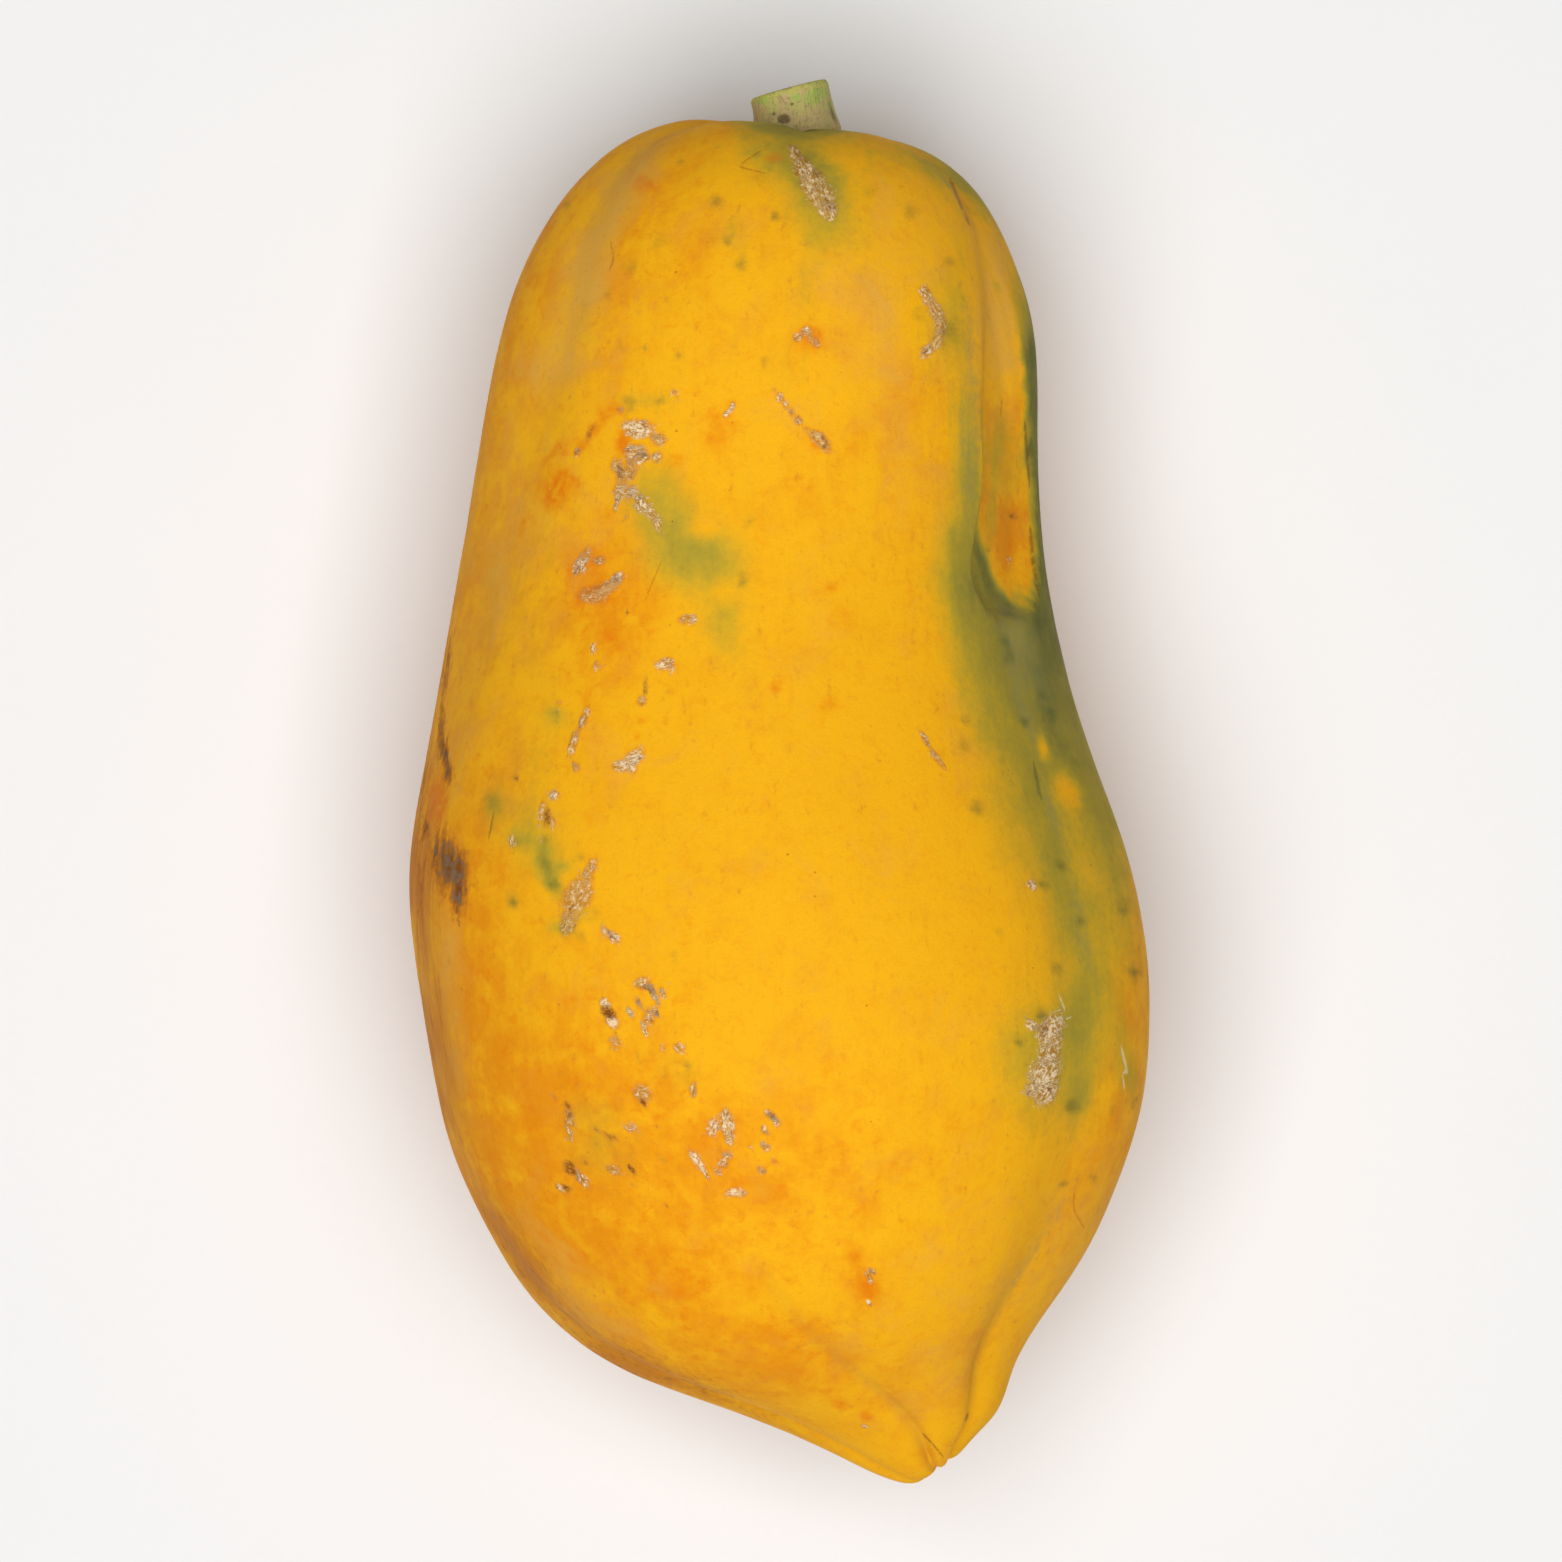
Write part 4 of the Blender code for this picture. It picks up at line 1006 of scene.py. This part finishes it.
def skin_material(skin):
    """Ripe papaya skin: yellow, blushed and mottled, with green patches and cork scars."""
    made, tree, shader = new_material("papaya_skin_fine")
    place = millimetres(tree)
    broad = cloud(place, 30.0, 1.0)
    mottle = cloud(place, 7.0, 3.0, 0.55)
    blush = cloud(place, 13.0, 4.0, 0.62, 0.5)
    fine = cloud(place, 1.5, 3.0, 0.6)
    grain = cloud(place, 0.5, 2.0, 0.6)
    embers = cloud(place, 3.4, 4.0, 0.62, 0.6)
    lengthways = cloud(stretched(place, (1.0, 0.14, 1.0)), 1.8, 3.0, 0.6)
    bands = cloud(stretched(place, (1.0, 0.12, 1.0)), 6.0, 3.0, 0.6, 0.3)
    neck = read(tree, "neck")

    # Ripeness, from yellow through amber
    ripeness = read(tree, "amber")
    lively = ripeness + 0.3
    amber = ((mottle - 0.5) * 1.6 + (blush - 0.5) * 1.8) * lively + ripeness
    amber = varied(amber, (broad, 0.35), (fine, 0.35), (lengthways, 0.25), (bands, neck * 0.7))
    # Pale bloom that is partly painted sheen
    bloom_and_sheen = read(tree, "bloom_and_sheen") * (mottle + 0.45) * (lengthways + 0.55)
    bloom_and_sheen = varied(bloom_and_sheen, (blush, 0.5), (bands, 0.5)) + step_up(blush, 0.42, 0.72, 0.24)
    # Rust along the edges, partly painted shade darkening them
    rust_and_edge_shade = varied(read(tree, "rust_and_edge_shade"), (lengthways, 0.8))
    streaks = step_up(lengthways, 0.52, 0.68) * rust_and_edge_shade
    colour = layered(
        blended(step_up(amber, 0.0, 0.95), skin.ripe_colour, skin.amber_colour),
        (step_up(embers, 0.52, 0.72) * step_up(ripeness, -0.3, 0.8, 0.5), skin.deep_orange_colour),
        (step_up(bloom_and_sheen, 0.05, 1.0), skin.bloom_and_sheen_colour),
        (step_up(rust_and_edge_shade, 0.1, 0.9, 0.85), skin.rust_and_edge_shade_colour),
        (step_up(streaks, 0.2, 1.0, 0.35), skin.bruise_colour),
    )

    # Green that hasn't turned
    green = varied(read(tree, "green"), (mottle, 0.30), (fine, 0.22), (lengthways, 0.14))
    green = green + step_up(bands, 0.54, 0.32, 0.14) * neck
    ash = varied(read(tree, "ash"), (fine, 0.9), (lengthways, 0.5))
    spot = ragged(place, read(tree, "green_spot"), 0.45, 0.45, 0.6, 2.0)
    colour = layered(
        colour,
        (step_up(green, 0.08, 0.66), skin.olive_colour),
        (step_up(green, 0.40, 0.95, 0.9), skin.green_colour),
        (step_up(green, 0.78, 1.12, 0.8), skin.dark_green_colour),
        (step_up(ash, 0.1, 1.1, 0.55), skin.ash_colour),
        (spot * step_up(mottle, 0.2, 0.5, 0.68), skin.dark_green_colour),
    )

    # Deep orange blotches, freckles, pores and the fine grain
    deep = ragged(place, read(tree, "deep_orange"), 0.5, 0.44, 0.9, 2.6)
    freckle = speckle(place, 1.9, 0.22, 0.3) * (lively * skin.freckles)
    dot = speckle(place, 6.5, 0.10, 0.55) * lively
    pore = speckle(place, 5.5, 0.08, 0.3)
    colour = layered(
        colour,
        (deep * step_up(embers, 0.15, 0.6, 0.85), skin.deep_orange_colour),
        (freckle, skin.deep_orange_colour),
        (dot * 0.6, skin.tan_colour),
        (pore * 0.7, skin.brown_colour),
        (step_up(grain, 0.45, 0.8, 0.14), skin.tan_colour),
    )

    # Painted shade along the grooves between the lobes, and bruised skin that is streaked
    # lengthways
    off, keen, _ = parts(read(tree, "groove", "Vector"))
    gap = varied(sums("ABSOLUTE", off), (fine, 0.7))
    groove_shade = (1.0 - step_up(gap, 0.2, 2.6)) * (keen * 0.24)
    bruise = varied(read(tree, "bruise"), (lengthways, 0.9), (fine, 0.9))
    fringe = step_up(bruise, 0.12, 0.55, 0.75)
    bruise = step_up(bruise, 0.36, 0.9)
    bruised = blended(step_up(lengthways, 0.42, 0.6), skin.bruise_colour, skin.brown_colour)
    bruised = blended(bruise * step_up(fine, 0.42, 0.58, 0.85), bruised, skin.grey_colour)
    colour = layered(
        colour,
        (groove_shade, skin.groove_shade_colour),
        (fringe, skin.rust_and_edge_shade_colour),
        (bruise * 0.85, bruised),
    )

    # Cork scars: brown tissue, then pale flakes along its grain, and bright crumbs that are partly
    # painted glints
    grain_place = read(tree, "cork_place", "Vector")
    fibres = cloud(stretched(grain_place, (0.7, 1.9, 1.0)), 0.9, 3.0, 0.65, 0.6)
    crumbs = cloud(grain_place, 0.6, 2.0, 0.6)
    white = read(tree, "cork_white")
    corky = read(tree, "cork")
    cork = ragged(place, corky, 0.5, 0.24, 1.2, 1.0)
    tissue = blended(step_up(fibres, 0.42, 0.58), skin.tan_colour, skin.cork_colour)
    flake = varied(fibres, (crumbs, 0.8)) + (white - 0.7) * 0.3
    flake = cork * step_up(flake, 0.44, 0.64, 0.78)
    flakes = blended(step_up(white, 0.2, 0.9), skin.cork_colour, skin.white_colour)
    colour = layered(
        colour,
        (step_up(corky, 0.12, 0.5, 0.35) * step_up(green, 0.4, 0.1), skin.deep_orange_colour),
        (step_up(corky, 0.2, 0.6, 0.9) * mottle, skin.tan_colour),
        (cork * 0.62, tissue),
        (flake, flakes),
        # White crumbs, partly painted glints on the cork
        (cork * step_up(crumbs, 0.55, 0.68, 0.55), skin.white_colour),
        (cork * step_up(1.0 - embers, 0.54, 0.66, 0.6), skin.brown_colour),
    )

    # Dark brown tissue, and thin strokes: cracks, and painted shade along some creases
    tanned = read(tree, "brown")
    brown = ragged(place, tanned, 0.55, 0.25, 0.6, 0.7)
    off, half, pale = parts(read(tree, "stroke", "Vector"))
    across = varied(sums("ABSOLUTE", off), (grain, 0.35))
    line = (1.0 - step_up(across, 0.0, half * 1.3)) * step_up(half, 0.02, 0.15, 0.6)
    line = line * step_up(fine, 0.3, 0.5)
    ink = layered(
        blended(step_up(pale, 0.0, 0.25), skin.rust_and_edge_shade_colour, skin.brown_colour),
        (step_up(pale, 0.25, 0.5), skin.dark_green_colour),
        (step_up(pale, 0.5, 1.0), skin.white_colour),
    )
    colour = layered(
        colour,
        (step_up(tanned, 0.15, 0.6, 0.5), skin.tan_colour),
        (brown * step_up(grain, 0.3, 0.55, 0.9), skin.brown_colour),
        (line, ink),
    )

    # Fine relief, and skin that is dull where it is hurt
    height = fine * 0.10 + grain * 0.04 + (flake + cork) * 0.07
    height = height - brown * 0.12 - line * 0.1 - pore * 0.08
    dull = sums("MAXIMUM", cork, sums("MAXIMUM", bruise, brown))
    roughness = varied(dull * 0.35 + skin.roughness, (mottle, 0.15))
    finish_shader(tree, shader, colour, height, MM, skin.gloss, roughness)
    return made


def rind_material(stem):
    """The stem's green rind, with lengthwise fibres."""
    made, tree, shader = new_material("stem_rind_fine")
    place = millimetres(tree)
    fibres = cloud(stretched(place, (1.6, 0.35, 1.6)), 1.3, 3.0, 0.6)
    blots = cloud(place, 3.0, 2.0)
    flecks = cloud(place, 0.8, 3.0, 0.65)
    up = read(tree, "up_the_stem")
    colour = layered(
        blended(step_up(blots, 0.40, 0.60), stem.rind_colour, stem.tan_colour),
        (ragged(place, read(tree, "stem_green"), 0.45, 0.2, 0.9, 1.2) * 0.75, stem.green_colour),
        (ragged(place, 1.0 - up, 0.62, 0.25, 0.5, 2.0) * 0.7, stem.tan_colour),
        (ragged(place, up, 0.86, 0.08, 0.12, 1.5) * 0.7, stem.edge_colour),
        (step_up(fibres, 0.52, 0.75, 0.3), stem.brown_colour),
        (ragged(place, read(tree, "stem_mark"), 0.5, 0.2, 0.3, 1.0) * 0.8, stem.brown_colour),
        (step_up(flecks, 0.55, 0.70, 0.5), stem.pith_colour),
        (step_up(flecks, 0.46, 0.30, 0.45), stem.brown_colour),
        (speckle(place, 2.0, 0.2, 0.25) * 0.6, stem.brown_colour),
    )
    finish_shader(tree, shader, colour, fibres * 0.5, MM, stem.gloss, stem.roughness)
    return made


def cut_material(stem):
    """The stem's cut face: pale pith with a ring of fibres and a brown, dried rim."""
    made, tree, shader = new_material("stem_cut")
    place = millimetres(tree)
    out = read(tree, "out_from_pith")
    cells = cloud(place, 0.6, 3.0, 0.6)
    drops = speckle(place, 0.9, 0.3, 0.7)
    ring = 1.0 - step_up(sums("ABSOLUTE", out - 0.72), 0.04, 0.16)
    colour = layered(
        blended(step_up(cells, 0.35, 0.7), stem.pith_colour, stem.edge_colour),
        (ring * drops, stem.brown_colour),
        (ragged(place, out, 0.93, 0.05, 0.15, 1.0), stem.brown_colour),
    )
    height = cells * 0.3 - drops * 0.15
    finish_shader(tree, shader, colour, height, MM, stem.gloss, stem.roughness)
    return made


def floor_material(stage):
    """A matt pale floor with the faintest unevenness."""
    made, tree, shader = new_material("pale_floor")
    place = millimetres(tree)
    darker = [c * 0.985 for c in stage.floor_colour]
    colour = blended(cloud(place, 60.0, 2.0), stage.floor_colour, darker)
    height = cloud(place, 3.0, 2.0)
    finish_shader(tree, shader, colour, height, 0.02 * MM, 0.2, 0.8)
    return made


def stem_points(around, along, inward):
    """The stem's points, root first, then its cut face, with what its looks need."""
    base = np.array(STEM_BASE)
    angle = 2 * math.pi * np.arange(around) / around
    ribs = 1 + STEM_RIBS * np.cos(LOBES * angle + 0.6) + STEM_OVAL * np.cos(2 * angle)
    ribs += 0.006 * np.cos(13 * angle + 1.0) + 0.004 * np.cos(29 * angle)
    shares = np.linspace(0, 1, along)
    girths = np.interp(shares, STEM_GIRTH_SHARES, STEM_GIRTHS)
    rings, up, out = [], [], []
    radius = STEM_RADIUS * STEM_ROOT_GIRTH * ribs
    rings.append((radius * np.cos(angle), np.full(around, -STEM_ROOT), radius * np.sin(angle)))
    up.append(0.0)
    out.append(1.0)
    for share, girth in zip(shares, girths):
        rolled = RIM_ROLL * max(0.0, (share - RIM_START) / (1 - RIM_START)) ** 2
        radius = STEM_RADIUS * girth * ribs - rolled
        x, z = radius * np.cos(angle), radius * np.sin(angle)
        cut = STEM_CUT_Y - base[1] + STEM_CUT_SLOPE * x
        rings.append((x, cut * share, z))
        up.append(share)
        out.append(1.0)
    for share in np.linspace(*CUT_SHARES, inward):
        radius = (STEM_RADIUS * girths[-1] * ribs - RIM_ROLL) * share
        x, z = radius * np.cos(angle), radius * np.sin(angle)
        dish = CUT_DISH * (1 - share**2)
        dish -= CUT_LINE * math.exp(-(((share - CUT_LINE_PLACE) / 0.1) ** 2))
        rings.append((x, STEM_CUT_Y - base[1] + STEM_CUT_SLOPE * x - dish, z))
        up.append(1.0)
        out.append(share)
    grid = np.array(rings).transpose(0, 2, 1)
    grid[:, :, 0] += STEM_LEAN * grid[:, :, 1]
    grid += base
    return grid, np.array(up), np.array(out)


def tint(name, description, default):
    """A colour setting."""
    return FloatVectorProperty(
        name=name, description=description, default=default, subtype="COLOR"
    )


def factor(name, description, default):
    """A setting between 0 and 1."""
    return FloatProperty(name=name, description=description, default=default, subtype="FACTOR")


def length(name, description, default):
    """A length setting."""
    return FloatProperty(name=name, description=description, default=default, unit="LENGTH")


class PapayaSkinSettings(PropertyGroup):
    rings: IntProperty(
        name="Rings along",
        description="Rings of points from the stem to the blossom end",
        default=284,
        min=40,
    )
    relief: FloatProperty(
        name="Relief",
        description="Strength of the skin's small dents and of its raised scars",
        default=1.0,
        min=0.0,
    )
    roughness: factor("Roughness", "Roughness of the sound skin", 0.55)
    gloss: factor("Gloss", "Strength of the waxy sheen", 0.015)
    freckles: factor("Freckles", "Strength of the fine orange freckles", 0.8)
    ripe_colour: tint("Ripe yellow", "Colour of the ripe skin", (0.93, 0.455, 0.009))
    amber_colour: tint("Amber", "Colour of the blushed skin", (0.82, 0.285, 0.006))
    # On the upper side this colour is partly painted sheen
    bloom_and_sheen_colour: tint(
        "Peach bloom", "Colour of the dull, pale bloom along the left side", (0.80, 0.415, 0.055)
    )
    olive_colour: tint("Olive", "Colour of skin that is about to turn ripe", (0.52, 0.37, 0.026))
    # This rust colour also paints shade along the fruit's edges
    rust_and_edge_shade_colour: tint("Rust", "Colour of the rusty skin along the sides", (0.60, 0.195, 0.012))
    ash_colour: tint("Ash", "Colour of the grey bloom on the green side", (0.29, 0.29, 0.12))
    green_colour: tint("Green", "Colour of unripe skin", (0.275, 0.237, 0.040))
    dark_green_colour: tint(
        "Dark green", "Colour of the green spots and of the darkest green", (0.108, 0.126, 0.030)
    )
    deep_orange_colour: tint("Deep orange", "Colour of the orange blotches", (0.80, 0.185, 0.003))
    # Painted shade along the grooves between the lobes
    groove_shade_colour: tint(
        "Groove", "Dull colour along the lines between the lobes", (0.36, 0.20, 0.05)
    )
    bruise_colour: tint("Bruise", "Main colour of the bruised skin", (0.17, 0.085, 0.03))
    grey_colour: tint("Bruise grey", "Grey bloom on the bruised skin", (0.17, 0.145, 0.11))
    brown_colour: tint(
        "Dead brown", "Colour of cracks, pores and dead tissue", (0.18, 0.048, 0.012)
    )
    tan_colour: tint("Cork, dark", "Darkest colour of the cork scars", (0.44, 0.19, 0.035))
    cork_colour: tint("Cork", "Main colour of the cork scars", (0.73, 0.49, 0.20))
    white_colour: tint("Cork, white", "Colour of the whitest flakes", (0.95, 0.76, 0.49))


class PapayaStemSettings(PropertyGroup):
    sides: IntProperty(
        name="Points around",
        description="Points round the stem",
        default=120,
        min=12,
    )
    roughness: factor("Roughness", "Roughness of the rind and the cut", 0.7)
    gloss: factor("Gloss", "Strength of the rind's sheen", 0.15)
    rind_colour: tint("Rind", "Colour of the green rind", (0.52, 0.49, 0.14))
    tan_colour: tint("Dry rind", "Colour of the dry, tan rind near the fruit", (0.56, 0.42, 0.18))
    green_colour: tint(
        "Fresh green", "Colour of the bright green patches of the rind", (0.36, 0.50, 0.09)
    )
    edge_colour: tint(
        "Fresh edge", "Yellow-green of the rind just under the cut", (0.52, 0.50, 0.10)
    )
    brown_colour: tint(
        "Brown", "Colour of the dark marks and of the dried rim", (0.12, 0.07, 0.03)
    )
    pith_colour: tint("Pith", "Colour of the cut face", (0.55, 0.45, 0.20))


class PapayaStageSettings(PropertyGroup):
    floor_size: length("Floor size", "Side of the square floor", 8.0)
    floor_colour: tint("Floor", "Colour of the pale floor", (0.86, 0.86, 0.86))
    light_size: length("Light size", "Side of the square light overhead", 3.4)
    light_height: length("Light height", "Height of the light over the floor", 4.0)
    light_power: FloatProperty(
        name="Light power",
        description="Power of the light overhead",
        default=195.0,
        unit="POWER",
    )
    sky_strength: FloatProperty(
        name="Fill",
        description="Strength of the even light from all round",
        default=0.08,
        min=0.0,
    )
    frame_width: length(
        "Frame width", "Width that the camera sees at the height of the fruit's middle", 0.3124
    )


class PAPAYA_OT_make_fruit(Operator):
    """Make the papaya's skin in full detail"""

    bl_idname = "papaya.make_fruit"
    bl_label = "Fruit"

    def execute(self, context):
        skin = context.scene.papaya_skin
        grid, facts = skin_points(skin.rings)
        first, last = RINGS[0], RINGS[-1]
        points = with_poles(grid, (first[0], first[1], first[4]), (last[0], last[1], last[4]))
        facts = {name: with_poles(v, v[0].mean(), v[-1].mean()) for name, v in facts.items()}
        marks, grains = skin_marks(points, facts)
        faces = loft_faces(*grid.shape[:2])
        fruit = mesh_object("papaya_skin_fine", points, faces)
        normals = np.empty(len(points) * 3, np.float32)
        fruit.data.vertices.foreach_get("normal", normals)
        out = (relief(points, marks) - SKIN_INSET) * skin.relief
        points = points + normals.reshape(-1, 3) * out[:, None]
        points[:, 2] = np.maximum(points[:, 2], 0.0)
        fruit.data.vertices.foreach_set("co", (points * MM).ravel())
        fruit.data.update()
        for name, values in {**marks, **grains}.items():
            keep_attribute(fruit.data, name, values)
        fruit.data.materials.append(skin_material(skin))
        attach(fruit, "root")
        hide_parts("fruit")
        return {"FINISHED"}


class PAPAYA_OT_make_stem(Operator):
    """Make the cut stem with its rind and its cut face"""

    bl_idname = "papaya.make_stem"
    bl_label = "Stem"

    def execute(self, context):
        settings = context.scene.papaya_stem
        grid, up, out = stem_points(settings.sides, STEM_RINGS_ALONG, STEM_RINGS_INWARD)
        root, face = grid[0].mean(0), grid[-1].mean(0)
        points = with_poles(grid, root, face)
        stem = mesh_object("stem_fine", points, loft_faces(*grid.shape[:2]))
        seen = seen_from_above(points)
        top_side = smooth((points[:, 2] - STEM_BASE[2]) / TOP_SIDE_HEIGHT)
        keep = {
            "up_the_stem": np.concatenate([[0], np.repeat(up, settings.sides), [1]]),
            "out_from_pith": np.concatenate([[1], np.repeat(out, settings.sides), [0]]),
            "stem_mark": patch(seen, STEM_MARKS) * top_side,
            "stem_green": patch(seen, STEM_GREEN),
        }
        for name, values in keep.items():
            keep_attribute(stem.data, name, values)
        stem.data.materials.append(rind_material(settings))
        stem.data.materials.append(cut_material(settings))
        on_cut = keep["out_from_pith"] < CUT_EDGE_SHARE
        on_cut[0] = False
        for face in stem.data.polygons:
            if all(on_cut[v] for v in face.vertices):
                face.material_index = 1
        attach(stem, "root")
        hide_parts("stem")
        return {"FINISHED"}


class PAPAYA_OT_make_stage(Operator):
    """Lay the pale floor and set the soft light and the camera straight above the fruit"""

    bl_idname = "papaya.make_stage"
    bl_label = "Stage"

    def execute(self, context):
        stage = context.scene.papaya_stage
        context.scene.view_settings.view_transform = "Standard"
        side = stage.floor_size / MM / 2
        ways = ((-1, -1), (1, -1), (1, 1), (-1, 1))
        corners = [(x * side, y * side, -FLOOR_DROP) for x, y in ways]
        floor = mesh_object("pale_floor", corners, [(0, 1, 2, 3)])
        floor.data.materials.append(floor_material(stage))

        light = bpy.data.lights.new("overhead_light", "AREA")
        light.shape = "SQUARE"
        light.size = stage.light_size
        light.energy = stage.light_power
        lamp = link_object("overhead_light", light)
        lamp.location = (*LIGHT_ASIDE, stage.light_height)
        lamp.rotation_euler = (-lamp.location).to_track_quat("-Z", "Y").to_euler()

        world = bpy.data.worlds.new("fill")
        world.use_nodes = True
        background = world.node_tree.nodes["Background"]
        background.inputs["Color"].default_value = (1, 1, 1, 1)
        background.inputs["Strength"].default_value = stage.sky_strength
        context.scene.world = world

        camera = bpy.data.cameras.new("overhead_camera")
        camera.sensor_width = 36
        camera.lens = camera.sensor_width * CAMERA_DISTANCE * MM / stage.frame_width
        standing = link_object("overhead_camera", camera)
        place = (*CAMERA_ASIDE, CAMERA_DISTANCE + LIFE_SIZE_HEIGHT)
        standing.location = [number * MM for number in place]
        context.scene.camera = standing
        return {"FINISHED"}


class PAPAYA_PT_pieces(Panel):
    """The papaya's pieces and their settings"""

    bl_idname = "PAPAYA_PT_pieces"
    bl_label = "Papaya"
    bl_space_type = "VIEW_3D"
    bl_region_type = "UI"
    bl_category = "Papaya"

    def draw(self, context):
        scene = context.scene
        for operator, settings in (
            ("papaya.make_fruit", scene.papaya_skin),
            ("papaya.make_stem", scene.papaya_stem),
            ("papaya.make_stage", scene.papaya_stage),
        ):
            box = self.layout.box()
            box.operator(operator)
            for name in settings.__annotations__:
                box.prop(settings, name)


CLASSES = (
    PapayaSkinSettings,
    PapayaStemSettings,
    PapayaStageSettings,
    PAPAYA_OT_make_fruit,
    PAPAYA_OT_make_stem,
    PAPAYA_OT_make_stage,
    PAPAYA_PT_pieces,
)


def register():
    for made in CLASSES:
        bpy.utils.register_class(made)
    bpy.types.Scene.papaya_skin = PointerProperty(type=PapayaSkinSettings)
    bpy.types.Scene.papaya_stem = PointerProperty(type=PapayaStemSettings)
    bpy.types.Scene.papaya_stage = PointerProperty(type=PapayaStageSettings)


def unregister():
    del bpy.types.Scene.papaya_skin
    del bpy.types.Scene.papaya_stem
    del bpy.types.Scene.papaya_stage
    for made in reversed(CLASSES):
        bpy.utils.unregister_class(made)


def main():
    register()
    bpy.ops.papaya.make_stage()
    bpy.ops.papaya.make_fruit()
    bpy.ops.papaya.make_stem()


if __name__ == "__main__":
    main()
